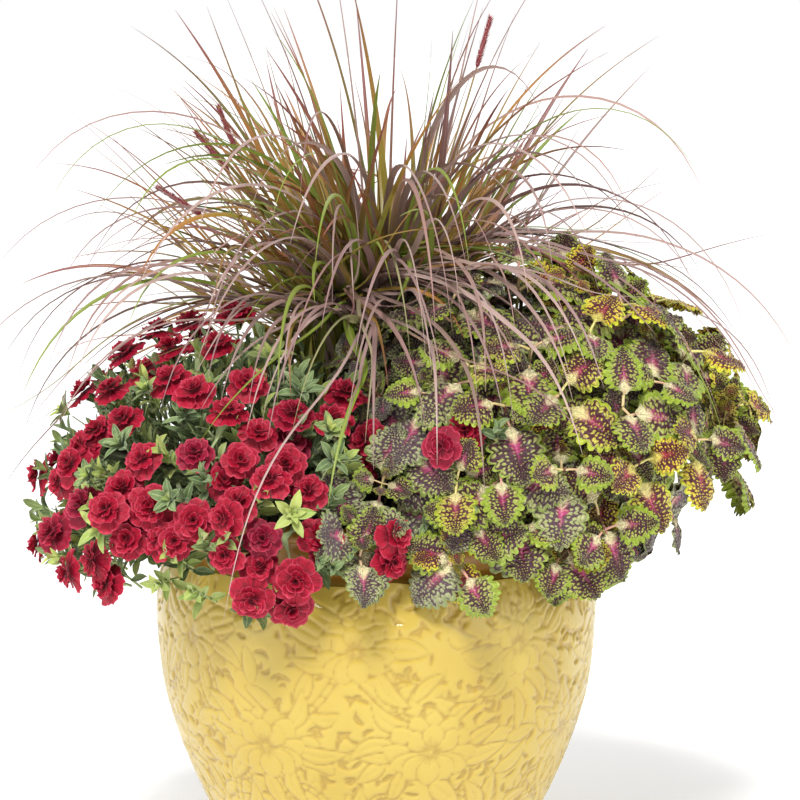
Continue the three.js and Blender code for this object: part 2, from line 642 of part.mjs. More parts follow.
function coleus() {
  const places = [
    ...COLEUS_STEMS_SEEN.map((stem) => stem.map((place) => seen(...place))),
    ...COLEUS_STEMS_BEHIND.map((stem) => stem.map((place) => onMound(COLEUS, ...place))),
  ];
  const stems = places.map((ends, k) => {
    const node = `coleus_stem_${String(k + 1).padStart(2, "0")}`;
    const away = ends[0].point.clone().sub(COLEUS.crown);
    const plan = (variant) => {
      const turn = Math.atan2(away.y, away.x) + 0.3 * (variant % 3 - 1);
      const ring = 20 + 13 * Math.floor(variant / 3);
      const at = sum(COLEUS.crown, v(ring * Math.cos(turn), ring * Math.sin(turn), 0));
      const { foot, hole } = footing(at, COLEUS_STEM_R, 4);
      return { hole, line: stemLine(foot, ends[0].point, shootAxis(ends[0]), STEM_RISE, 4) };
    };
    const make = ({ line }, room) => bar(line, line.map((_, i) => COLEUS_STEM_R - 0.14 * i + room), 4);
    const main = plan(firstClear(STEM_TRIES, (variant) => make(plan(variant), CLEAR)));
    ends[0].shoot = add(node, make(main, 0));
    return { node, ends, ...main };
  });
  for (const { node, ends, line } of stems) {
    for (const side of ends.slice(1)) {
      const bend = side.point.clone().addScaledVector(shootAxis(side), -SHOOT_TIP);
      const forks = forksAlong(line, bend, shootAxis(side));
      side.shoot = addFirstThatFits(node, forks.length, (variant, room) => (
        bar([forks[variant], bend, side.point], [2.2 + room, 1.9 + room, 1.6 + room], 3)), [ends[0].shoot]);
    }
  }
  return stems;
}

// ---- Fountain grass ----

// Pushes a point out of the two mounds and the leaves that stand on them, but not near the grass's own
// crown.
function outsideMounds(p) {
  const free = smooth(Math.hypot(p.x - GRASS.crown.x, p.y - GRASS.crown.y), 45, 95);
  const out = p.clone();
  for (const mound of [CALIBRACHOA, COLEUS, CALIBRACHOA]) {
    const offset = out.clone().sub(mound.centre);
    const reach = mound.radii.clone().addScalar(GRASS_MARGIN);
    const share = offset.clone().divide(reach).length();
    if (share < 1) out.addScaledVector(offset, (1 / share - 1) * free);
  }
  return out;
}

const BLADE_STEPS = 24;
const GOLDEN_ANGLE = Math.PI * (3 - Math.sqrt(5));

// The line of an arching blade: it leaves at an angle from upright and bends over by `sweep` towards its
// tip.
function bladeLine({ root, azimuth, lean, sweep, bend, length }) {
  const step = length / BLADE_STEPS;
  let line = [root];
  for (let i = 0; i < BLADE_STEPS; i++) {
    const angle = lean + sweep * ((i + 0.5) / BLADE_STEPS) ** bend;
    const level = v(Math.cos(azimuth), Math.sin(azimuth), 0);
    line.push(sum(line[i], times(level, step * Math.sin(angle)), times(UP, step * Math.cos(angle))));
  }
  line = line.map((p, i) => (i < 3 ? p : outsideMounds(p)));
  for (let pass = 0; pass < 3; pass++) {
    line = line.map((p, i) => (i < 2 || i === BLADE_STEPS ? p
      : sum(times(line[i - 1], 0.25), times(p, 0.5), times(line[i + 1], 0.25))));
  }
  return line;
}

// A blade's width along it, as a share of its widest: narrow at its foot, widest low down, then to a fine
// tip.
const bladeShare = (t) => (0.62 + 0.38 * smooth(t, 0, 0.25)) * (1 - t ** 2.2) + 0.04;

// A keeled blade along some points of its line, with a three-sided section that ends in a tip. Its upper
// edge stays level right across, so it never twists.
function blade(line, width, knots, room) {
  const run = line.at(-1).clone().sub(line[0]);
  const side = v(-run.y, run.x, 0).normalize();
  const rings = knots.map((i) => {
    const t = i / BLADE_STEPS;
    const p = line[i];
    if (i === BLADE_STEPS) return [p];
    const along = line[i + 1].clone().sub(line[Math.max(i - 1, 0)]).normalize();
    const face = side.clone().cross(along).normalize();
    const half = (width * bladeShare(t)) / 2 + room;
    const keel = GRASS.thick * (1 - 0.35 * t) + room;
    return [sum(p, times(side, -half), times(face, room)), sum(p, times(side, half), times(face, room)),
      sum(p, times(face, -keel))];
  });
  return loft(rings);
}

// Blade k of the clump. The roots fill the crown evenly, and a blade leans out more and is shorter
// towards its edge.
function bladePlan(k) {
  const draw = seeded(SEEDS.blade + k);
  const share = (k + 0.5) / GRASS.blades;
  const azimuth = k * GOLDEN_ANGLE;
  const arching = draw(0, 1) < 0.25 + 0.5 * share;
  const r = 0.9 * GRASS.crownR * Math.sqrt(share);
  const top = soilTop(GRASS.crown.x, GRASS.crown.y) + GRASS.crownTop * (1 - 0.6 * share) - 9;
  return {
    root: v(GRASS.crown.x + r * Math.cos(azimuth), GRASS.crown.y + r * Math.sin(azimuth), top),
    azimuth,
    lean: rad(4 + 46 * share + draw(-5, 5)),
    sweep: rad(arching ? draw(70, 120) : draw(12, 55)),
    bend: arching ? 1.3 : 1.7,
    length: arching ? draw(320, 440) : draw(400, 540) - 110 * share,
    width: GRASS.width * draw(0.75, 1.2),
    arching,
  };
}

const BLADE_TRIES = 19;

function grass() {
  const { foot, hole } = footing(GRASS.crown, GRASS.crownR, 12);
  const level = (dz) => sum(foot, v(0, 0, dz));
  const top = STEM_SEAT + GRASS.crownTop;
  const levels = [0, STEM_SEAT + 12, top - 12, top].map(level);
  const friends = [add("grass_clump", bar(levels, [GRASS.crownR, GRASS.crownR, 31, 14], 12))];

  // A plume on each culm, at the end of a thin stalk that rises among the blades.
  CULMS.forEach(({ base, tip, back }, k) => {
    const [from, to] = [base, tip].map(([right, up]) => {
      const drop = back * Math.tan(EYE.above);
      return v(right * (1 + back / EYE.distance), back, LEDGE_Z + up / Math.cos(EYE.above) - drop);
    });
    const axis = to.clone().sub(from).normalize();
    const out = v(from.x - GRASS.crown.x, from.y - GRASS.crown.y, 0).setLength(0.3 * GRASS.crownR);
    const root = sum(GRASS.crown, out, v(0, 0, SOIL_Z + 36));
    const [upright, reach] = [sum(root, v(0, 0, 170)), sum(from, times(axis, -110))];
    const curve = new THREE.CubicBezierCurve3(root, upright, reach, from);
    friends.push(add("grass_clump", bar(curve.getPoints(5), [1.6, 1.5, 1.4, 1.3, 1.2, 1.1])));
    const [side, other] = across(axis);
    const shares = [[0, 0.3], [0.15, 0.85], [0.4, 1], [0.65, 0.8], [0.88, 0.5]];
    const rings = shares.map(([t, r], i) => Array.from({ length: 5 }, (_, j) => {
      const turn = (2 * Math.PI * (j + 0.5 * (i % 2))) / 5;
      return sum(from, times(axis, GAP + t * PLUME.length), times(side, r * PLUME.radius * Math.cos(turn)),
        times(other, r * PLUME.radius * Math.sin(turn)));
    }));
    add(`grass_plume_${k + 1}`, loft([...rings, [sum(from, times(axis, GAP + PLUME.length))]]));
  });

  for (let k = 0; k < GRASS.blades; k++) {
    const plan = bladePlan(k);
    const knots = plan.arching ? [0, 6, 12, 18, BLADE_STEPS] : [0, 8, 16, BLADE_STEPS];
    addFirstThatFits("grass_clump", BLADE_TRIES, (variant, room) => {
      const swing = 0.11 * Math.ceil(variant / 2) * (variant % 2 ? 1 : -1);
      return blade(bladeLine({ ...plan, azimuth: plan.azimuth + swing }), plan.width, knots, room);
    }, friends);
  }
  return hole;
}

// ---- The planter ----

function mesh(name, made, material) {
  const { vertProperties, triVerts } = made.getMesh();
  const geometry = new THREE.BufferGeometry();
  geometry.setAttribute("position", new THREE.BufferAttribute(vertProperties, 3));
  geometry.setIndex(Array.from(triVerts));
  geometry.computeVertexNormals();
  const result = new THREE.Mesh(geometry, material);
  result.name = name;
  return result;
}

const paint = (color, roughness) => new THREE.MeshStandardMaterial({ color, roughness, metalness: 0 });
const MATERIALS = [
  ["pot", paint(0xe6c765, 0.25)],
  ["soil", paint(0x2c211a, 0.95)],
  ["grass_clump", paint(0x7a5a3c, 0.5)],
  ["grass_plume", paint(0x7d1f33, 0.8)],
  ["calibrachoa_blooms", paint(0xb3122b, 0.6)],
  ["calibrachoa_spray", paint(0x5d7a43, 0.6)],
  ["coleus_stem", paint(0x6d7a34, 0.55)],
];

function planter() {
  add("pot", pot());
  const sprays = calibrachoa();
  const stems = coleus();
  stems.forEach(({ node, ends }, k) => {
    ends.forEach((end, i) => rosette(node, end, shootAxis(end), SEEDS.rosette + 10 * (k + 1) + i));
  });
  TUFTS_SEEN.forEach((place, k) => tuft(sprays, seen(...place), SEEDS.tuft + k));
  inRows(TUFT_ROWS, SEEDS.row + 7).forEach((place, k) => tuft(sprays, place, SEEDS.backTuft + k));
  const grassHole = grass();
  add("soil", soil([...sprays, ...stems].map(({ hole }) => hole).concat(grassHole)));

  const group = new THREE.Group();
  for (const node of new Set(pieces.map((p) => p.node))) {
    const parts = pieces.filter((p) => p.node === node).map((p) => p.made);
    const bodies = wasm.Manifold.union(parts).decompose();
    bodies.sort((a, b) => b.volume() - a.volume());
    const [, material] = MATERIALS.find(([prefix]) => node.startsWith(prefix));
    group.add(mesh(node, bodies[0], material));
  }
  return group;
}

export default planter();
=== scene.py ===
"""A summer planter: coleus, double calibrachoa and purple fountain grass in a glazed, carved pot.

Every bloom, leaf and stem is found in the frame's own solids and rebuilt there in finer form. More leaves,
blooms and blades then fill the plants out. Lengths are in millimetres until a piece is made, and +Z is up.
"""
import math

import bpy
import numpy as np
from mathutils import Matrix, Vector, kdtree
from mathutils.geometry import tessellate_polygon


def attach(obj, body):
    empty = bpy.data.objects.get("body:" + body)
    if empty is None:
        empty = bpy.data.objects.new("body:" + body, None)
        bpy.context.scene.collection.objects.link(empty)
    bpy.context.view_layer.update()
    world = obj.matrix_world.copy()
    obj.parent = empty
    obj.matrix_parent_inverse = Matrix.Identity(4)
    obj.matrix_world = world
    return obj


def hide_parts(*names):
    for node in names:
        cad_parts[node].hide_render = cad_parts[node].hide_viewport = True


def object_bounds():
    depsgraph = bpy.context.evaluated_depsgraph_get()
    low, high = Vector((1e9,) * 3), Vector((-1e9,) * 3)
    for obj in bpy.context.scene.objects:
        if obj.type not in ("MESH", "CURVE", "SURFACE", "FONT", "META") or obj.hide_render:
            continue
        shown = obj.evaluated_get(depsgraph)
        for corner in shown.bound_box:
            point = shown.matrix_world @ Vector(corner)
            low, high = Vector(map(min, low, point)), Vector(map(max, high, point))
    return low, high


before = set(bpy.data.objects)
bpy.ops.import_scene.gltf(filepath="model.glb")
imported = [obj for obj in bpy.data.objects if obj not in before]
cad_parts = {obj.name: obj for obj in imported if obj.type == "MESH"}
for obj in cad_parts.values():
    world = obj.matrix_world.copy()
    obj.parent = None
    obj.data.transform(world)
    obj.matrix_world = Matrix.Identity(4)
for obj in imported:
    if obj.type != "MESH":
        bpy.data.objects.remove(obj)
cad_box = [list(corner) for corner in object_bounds()]

MM = 0.001
UP = np.array([0.0, 0.0, 1.0])
GOLDEN_ANGLE = math.pi * (3 - math.sqrt(5))
# The span that a random phase is drawn from, and the turn from one leaf of a spiral to the next.
FULL_TURN, LEAF_TURN = 6.3, 2.4

# ---- Driving dimensions, the same as the solids' ----

LEDGE_Z = 300.0
NECK_R = 184.0
RIM_Z = 345.0
RIM_ROLL = 8.0
WALL = 13.0
POT_OUTSIDE = [
    (118, 0), (137, 32), (154, 64), (171, 101), (185, 138), (196, 180), (202, 240), (200, 272), (194, 297),
]
SOIL_Z, SOIL_RISE = 324.0, 10.0
CALIBRACHOA = {"centre": np.array([-105.0, -15.0, 318.0]), "radii": np.array([208.0, 225.0, 200.0])}
COLEUS = {"centre": np.array([120.0, -5.0, 392.0]), "radii": np.array([222.0, 215.0, 180.0])}
COLEUS_CROWN = (88, -36)
GRASS_CROWN = (8.0, 62.0)
GRASS_CROWN_R, GRASS_CROWN_TOP, GRASS_MARGIN = 40.0, 46.0, 24.0
BLADE_WIDTH, SOLID_BLADES, SOLID_BLADE_TRIES, SWING_STEP = 7.2, 78, 19, 0.11
EYE_DISTANCE, EYE_ABOVE = 3000.0, math.radians(9.3)


# ---- Small helpers ----

def unit(a):
    """Vectors of length 1 along the last axis."""
    return a / np.maximum(np.linalg.norm(a, axis=-1, keepdims=True), 1e-12)


def smooth(x, low, high):
    t = np.clip((np.asarray(x, float) - low) / (high - low), 0.0, 1.0)
    return t * t * (3.0 - 2.0 * t)


def across(axis):
    """Two directions square to an axis and to each other."""
    helper = UP if abs(axis[2]) < 0.9 else np.array([1.0, 0.0, 0.0])
    first = unit(np.cross(helper, axis))
    return first, np.cross(axis, first)


def around(u, w, turn):
    """The direction at a turn from u towards w."""
    return u * math.cos(turn) + w * math.sin(turn)


def level_way(azimuth):
    """The level direction at an azimuth."""
    return np.array([math.cos(azimuth), math.sin(azimuth), 0.0])


def lerp(a, b, t):
    return a + (b - a) * t


def srgb(red, green, blue):
    """A colour given as 0 to 255 screen values, in the linear form that a shader takes."""
    def channel(value):
        c = value / 255.0
        return c / 12.92 if c <= 0.04045 else ((c + 0.055) / 1.055) ** 2.4
    return channel(red), channel(green), channel(blue), 1.0


def seeded(seed):
    """The solids' own random draws: numbers between low and high that are the same each time."""
    state = ((seed + 1) * 2654435761) & 0xFFFFFFFF

    def draw(low, high):
        nonlocal state
        state = (state * 1664525 + 1013904223) & 0xFFFFFFFF
        return low + (high - low) * state / 4294967296.0
    return draw


def smooth_profile(corners, count):
    """Points along a rounded curve through the corners, evenly spaced, with how far along each is."""
    p = np.array(corners, float)
    p = np.vstack([2 * p[0] - p[1], p, 2 * p[-1] - p[-2]])
    t = np.linspace(0, 1, 12, endpoint=False)[:, None]
    parts = []
    for a, b, c, d in zip(p, p[1:], p[2:], p[3:]):
        square, cube = 2 * a - 5 * b + 4 * c - d, 3 * b - a - 3 * c + d
        parts.append(0.5 * (2 * b + (c - a) * t + square * t ** 2 + cube * t ** 3))
    curve = np.vstack([*parts, p[-2:-1]])
    run = np.concatenate([[0], np.cumsum(np.linalg.norm(np.diff(curve, axis=0), axis=1))])
    even = np.linspace(0, run[-1], count)
    return np.stack([np.interp(even, run, curve[:, k]) for k in range(2)], -1), even


# ---- Pieces ----

class Shape:
    """One piece's points, faces, material numbers and marks, gathered part by part.

    Each point has two marks for its material: where it lies on its leaf, petal or blade, and what kind
    of leaf, petal or blade that is.
    """

    def __init__(self):
        self.points, self.marks, self.kinds, self.quads, self.tris = [], [], [], [], []
        self.quad_slots, self.tri_slots = [], []
        self.count = 0

    def add(self, points, faces, mark=(0, 0, 0), kind=(0, 0, 0), slot=0):
        points = np.asarray(points, float).reshape(-1, 3)
        faces = np.asarray(faces, int)
        self.points.append(points)
        self.marks.append(np.broadcast_to(np.asarray(mark, float), points.shape))
        self.kinds.append(np.broadcast_to(np.asarray(kind, float), points.shape))
        kept, slots = (self.quads, self.quad_slots) if faces.shape[1] == 4 else (self.tris, self.tri_slots)
        kept.append(faces + self.count)
        slots.append(np.full(len(faces), slot))
        self.count += len(points)

    def piece(self, name, materials, slot, nodes):
        """Makes the Blender object, in metres, and hangs it on the frame."""
        mesh = bpy.data.meshes.new(name)
        quads = np.concatenate(self.quads) if self.quads else np.zeros((0, 4), int)
        tris = np.concatenate(self.tris) if self.tris else np.zeros((0, 3), int)
        mesh.vertices.add(self.count)
        mesh.vertices.foreach_set("co", (np.concatenate(self.points) * MM).astype(np.float32).ravel())
        mesh.loops.add(quads.size + tris.size)
        corners = np.concatenate([quads.ravel(), tris.ravel()])
        mesh.loops.foreach_set("vertex_index", corners.astype(np.int32))
        starts = np.concatenate([np.arange(len(quads)) * 4, quads.size + np.arange(len(tris)) * 3])
        mesh.polygons.add(len(quads) + len(tris))
        mesh.polygons.foreach_set("loop_start", starts.astype(np.int32))
        numbers = np.concatenate([*self.quad_slots, *self.tri_slots]).astype(np.int32)
        mesh.polygons.foreach_set("material_index", numbers)
        mesh.polygons.foreach_set("use_smooth", np.ones(len(numbers), bool))
        for key, values in (("mark", self.marks), ("kind", self.kinds)):
            layer = mesh.attributes.new(key, "FLOAT_VECTOR", "POINT")
            layer.data.foreach_set("vector", np.concatenate(values).astype(np.float32).ravel())
        for material in materials:
            mesh.materials.append(material)
        mesh.update(calc_edges=True)
        mesh.validate()
        hang(bpy.data.objects.new(name, mesh), nodes)


def hang(piece, nodes):
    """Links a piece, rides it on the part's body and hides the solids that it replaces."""
    bpy.context.scene.collection.objects.link(piece)
    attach(piece, "root")
    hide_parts(*nodes)


def grid_faces(rows, columns, closed=False):
    """Quads between rows of points, each row with `columns` points, joined round if closed."""
    i, j = np.meshgrid(np.arange(rows - 1), np.arange(columns if closed else columns - 1), indexing="ij")
    a, b = i * columns + j, i * columns + (j + 1) % columns
    return np.stack([a, b, b + columns, a + columns], -1).reshape(-1, 4)


def tube(line, radii, sides):
    """Points and faces of a round tube along a line, which turns about one level direction."""
    line = np.asarray(line, float)
    along = unit(np.gradient(line, axis=0))
    run = line[-1] - line[0]
    level = unit(np.array([-run[1], run[0], 0.0])) if np.hypot(run[0], run[1]) > 1 else np.array([1.0, 0, 0])
    first = unit(level - along * (along @ level)[:, None])
    second = np.cross(along, first)
    turn = np.linspace(0, 2 * math.pi, sides, endpoint=False)
    ring = first[:, None] * np.cos(turn)[None, :, None] + second[:, None] * np.sin(turn)[None, :, None]
    points = line[:, None] + ring * np.asarray(radii, float)[:, None, None]
    return points.reshape(-1, 3), grid_faces(len(line), sides, closed=True)


def add_tube(shape, line, radii, sides, mark, kind, slot=0):
    """Adds a round tube to a piece."""
    points, faces = tube(line, radii, sides)
    shape.add(points, faces, mark, kind, slot)


def bezier(points, steps):
    """Points along a cubic Bezier curve."""
    a, b, c, d = (np.asarray(p, float) for p in points)
    t = np.linspace(0, 1, steps)[:, None]
    return a * (1 - t) ** 3 + 3 * b * t * (1 - t) ** 2 + 3 * c * t * t * (1 - t) + d * t ** 3


# ---- Reading the solids ----

class Net:
    """A solid node as unique corners in millimetres, triangles, and the corners next to each."""

    def __init__(self, node):
        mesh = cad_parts[node].data
        mesh.calc_loop_triangles()
        corners = np.zeros(len(mesh.vertices) * 3)
        mesh.vertices.foreach_get("co", corners)
        triangles = np.zeros(len(mesh.loop_triangles) * 3, int)
        mesh.loop_triangles.foreach_get("vertices", triangles)
        self.points, index = np.unique(np.round(corners.reshape(-1, 3) / MM, 2), axis=0, return_inverse=True)
        self.triangles = index.reshape(-1)[triangles].reshape(-1, 3)
        self.beside = [set() for _ in self.points]
        for a, b, c in self.triangles:
            self.beside[a] |= {b, c}
            self.beside[b] |= {a, c}
            self.beside[c] |= {a, b}
        for i, near in enumerate(self.beside):
            near.discard(i)

    def without(self, corners):
        """The triangles that touch none of these corners."""
        used = np.isin(self.triangles, list(corners)).any(axis=1)
        return self.triangles[~used]


def nodes_named(prefix):
    return sorted(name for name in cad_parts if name.startswith(prefix))


def find_blooms(net):
    """Each bloom's centre, axis, size and corners: a crest of five corners in a rim of ten."""
    found = []
    for i, crest in enumerate(net.beside):
        if len(crest) != 5:
            continue
        ring = net.points[list(crest)]
        centre = ring.mean(axis=0)
        reach = np.linalg.norm(ring - centre, axis=1)
        rim = set().union(*(net.beside[c] for c in crest)) - crest - {i}
        if reach.min() < 7 or reach.max() > 11 or not 8 <= len(rim) <= 14:
            continue
        axis = unit(np.linalg.svd(ring - centre)[2][2])
        outer = net.points[list(rim)]
        axis = axis if (outer.mean(axis=0) - centre) @ axis < 0 else -axis
        if (net.points[i] - centre) @ axis > 0:
            continue
        size = reach.mean() / 9.0
        found.append({
            "centre": centre - axis * 7.6 * size, "axis": axis, "size": size,
            "spoke": unit(ring[0] - centre), "corners": {i} | crest | rim,
        })
    return found


def find_leaves(net):
    """Each scalloped leaf's base, tip, face, width and corners.

    The middles of a leaf's two faces lie close together, and both are joined to its whole edge.
    """
    found = []
    broad = [i for i, near in enumerate(net.beside) if 8 <= len(near) <= 16]
    for i in broad:
        for j in broad:
            edge = net.beside[i] & net.beside[j]
            gap = net.points[i] - net.points[j]
            upper_only, under_only = net.beside[i] - edge, net.beside[j] - edge
            if len(edge) < 6 or not 1.1 < np.linalg.norm(gap) < 1.5 or len(upper_only) <= len(under_only):
                continue
            rib, face = (net.points[i] + net.points[j]) / 2, unit(gap)
            stalk = net.points[list(upper_only)].mean(axis=0)
            rim = net.points[list(edge)]
            tip = rim[np.argmax((rim - rib) @ unit(rib - stalk))]
            side = unit(np.cross(face, tip - stalk))
            past = set().union(*(net.beside[c] for c in upper_only | under_only))
            past -= edge | upper_only | under_only | {i, j}
            found.append({
                "base": stalk - face * 0.65, "tip": tip, "face": face,
                "width": 2 * np.abs((rim - rib) @ side).max(),
                "root": net.points[list(past)].mean(axis=0) if past else stalk - (tip - stalk) * 0.2,
                "corners": {i, j} | edge | upper_only | under_only,
            })
    return found


def find_tufts(net):
    """Each tuft's hub, leaf tips and corners: its hub is joined to the whole rim of its leaves."""
    found = []
    for i, rim in enumerate(net.beside):
        if not 18 <= len(rim) <= 22:
            continue
        hub, order = net.points[i], sorted(rim)
        reach = {c: np.linalg.norm(net.points[c] - hub) for c in order}
        tips = [c for c in order if reach[c] > 15 and all(reach[n] <= reach[c] for n in net.beside[c] & rim)]
        if len(tips) < 3:
            continue
        axis = unit(sum(unit(net.points[c] - hub) for c in tips))
        found.append({
            "hub": hub - axis * 2, "axis": axis, "tips": [net.points[c] for c in tips], "corners": {i} | rim,
        })
    return found


# ---- Blooms ----

PETAL_ROWS, PETAL_COLUMNS = 7, 10
CALYX_GREEN, PETAL_RED = 0, 1
SEPALS, TUBE_SIDES = 5, 8
# A bloom's whorls from the outside in:
# [petals, first turn, length, width, opening, ruffle, fold, unevenness].
WHORLS = [
    (5, 0.0, 20.0, 20.5, 0.0, 1.7, 0.0, 0.5), (5, 0.62, 15.5, 16.5, 0.48, 1.9, 0.22, 1.0),
    (3, 0.2, 11.5, 13.0, 0.85, 1.6, 0.4, 1.4), (3, 1.2, 9.0, 11.0, 1.15, 1.3, 0.55, 1.6),
]
# The narrow tube behind the petals, [height, radius], and a sepal, [height, how far out, half width].
BLOOM_TUBE = [(-13.5, 1.3), (-11, 1.9), (-6, 2.1), (-2, 3.2), (0.6, 5.6)]
SEPAL = [(-12.5, 1.6, 0.8), (-8, 3.6, 1.9), (-3.5, 6.6, 1.6), (-0.8, 9.6, 0.15)]


def petal(draw, length, width, opening, ruffle, fold):
    """A petal's points, as how far out, across and up each is from its foot, with their marks."""
    t, s = np.meshgrid(np.linspace(0, 1, PETAL_ROWS), np.linspace(-1, 1, PETAL_COLUMNS), indexing="ij")
    fan = 0.16 + 0.84 * np.sin(np.clip(t * 1.02, 0, 1) * math.pi / 2) ** 1.1
    notch = draw(0.02, 0.14) * np.exp(-((s - draw(-0.15, 0.15)) / 0.2) ** 2)
    reach = t * (1 - 0.4 * np.abs(s) ** 2.4 * t - notch * t)
    wave = np.sin(s * draw(5.5, 8.0) + draw(0, FULL_TURN)) * 0.6
    wave += np.sin(s * draw(10, 14) + draw(0, FULL_TURN)) * 0.5
    rise = np.sin(opening) * reach * length
    bend = (0.5 - 0.5 * np.cos(math.pi * t)) * draw(0.12, 0.3) * length
    height = rise - bend * np.cos(opening) + ruffle * wave * t ** 1.4
    trough = fold * width * 0.5 * np.abs(s) ** 1.4 * t + draw(-1, 1) * fold * width * 0.35 * s * t
    out = np.cos(opening) * reach * length + np.sin(opening) * (bend * 0.5 - trough)
    side = s * fan * width / 2 * (1 - 0.45 * fold)
    marks = np.stack([s, t, np.full_like(s, draw(0, 1))], -1)
    return np.stack([out, side, height + np.cos(opening) * trough], -1).reshape(-1, 3), marks.reshape(-1, 3)


def add_bloom(shape, bloom, draw):
    """A double bloom: whorls of ruffled petals over a calyx of five sepals on a narrow tube."""
    axis, size = bloom["axis"], bloom["size"]
    first = unit(bloom["spoke"] - axis * (bloom["spoke"] @ axis))
    second = np.cross(axis, first)
    age = draw(0, 1)

    def place(points, turn):
        c, s = math.cos(turn), math.sin(turn)
        x, y, z = points[:, 0] * c - points[:, 1] * s, points[:, 0] * s + points[:, 1] * c, points[:, 2]
        return bloom["centre"] + x[:, None] * first + y[:, None] * second + z[:, None] * axis

    faces = grid_faces(PETAL_ROWS, PETAL_COLUMNS)
    for whorl, (count, start, length, width, opening, ruffle, fold, uneven) in enumerate(WHORLS):
        for k in range(count):
            turn = start + (k + uneven * draw(-0.18, 0.18)) * 2 * math.pi / count
            points, marks = petal(
                draw, length * draw(0.92 - 0.06 * uneven, 1.05) * size, width * draw(0.92, 1.1) * size,
                opening + uneven * draw(-0.16, 0.14), ruffle * size * draw(0.7, 1.2), fold * draw(0.5, 1.3),
            )
            points[:, 0] += size
            points[:, 2] += (0.8 + 1.2 * whorl) * size
            shape.add(place(points, turn), faces, marks, (age, whorl / 3, draw(0, 1)), PETAL_RED)
    turns = np.linspace(0, 2 * math.pi, TUBE_SIDES, endpoint=False)
    cup = [(r * math.cos(a) * size, r * math.sin(a) * size, h * size) for h, r in BLOOM_TUBE for a in turns]
    cup_faces = grid_faces(len(BLOOM_TUBE), TUBE_SIDES, closed=True)
    shape.add(place(np.array(cup), 0), cup_faces, (0, 0.3, 0.5), (age, 0, 0.4), PETAL_RED)
    sepal_faces, sides = grid_faces(len(SEPAL), 3), (-1, 0, 1)
    for k in range(SEPALS):
        turn = 0.3 + k * 2 * math.pi / SEPALS
        sepal = [(r * size, s * w * size, (h - 0.3 * abs(s)) * size) for h, r, w in SEPAL for s in sides]
        marks = [(s, j / 3, 0.5) for j in range(len(SEPAL)) for s in sides]
        shape.add(place(np.array(sepal), turn), sepal_faces, marks, (0.5, 0.2, draw(0, 1)), CALYX_GREEN)


# ---- Coleus leaves ----

# Half of a leaf's outline, from its narrow foot to its tip: [share of its length, share of its half width].
LEAF_OUTLINE = [
    (0.0, 0.03), (0.045, 0.13), (0.075, 0.3), (0.085, 0.52), (0.14, 0.78), (0.27, 0.96), (0.43, 1.0),
    (0.59, 0.93), (0.74, 0.76), (0.87, 0.5), (0.96, 0.22), (1.0, 0.0),
]
FIRST_TOOTH = 0.17
FOOT_ROWS = 3
LEAF_BLADE, LEAF_PETIOLE, SHOOT_STEM = 0, 1, 2
LEAF_WIDTH, LEAF_LENGTH = 47.0, 50.0
# A rosette's pairs of leaves from the lowest up: [size, opening from the shoot, place along it, youth].
LEAF_PAIRS = [(1.0, 1.3, -18, 0), (0.74, 1.0, -6, 0.08), (0.42, 0.75, 0, 0.5), (0.24, 0.5, 2, 0.75)]


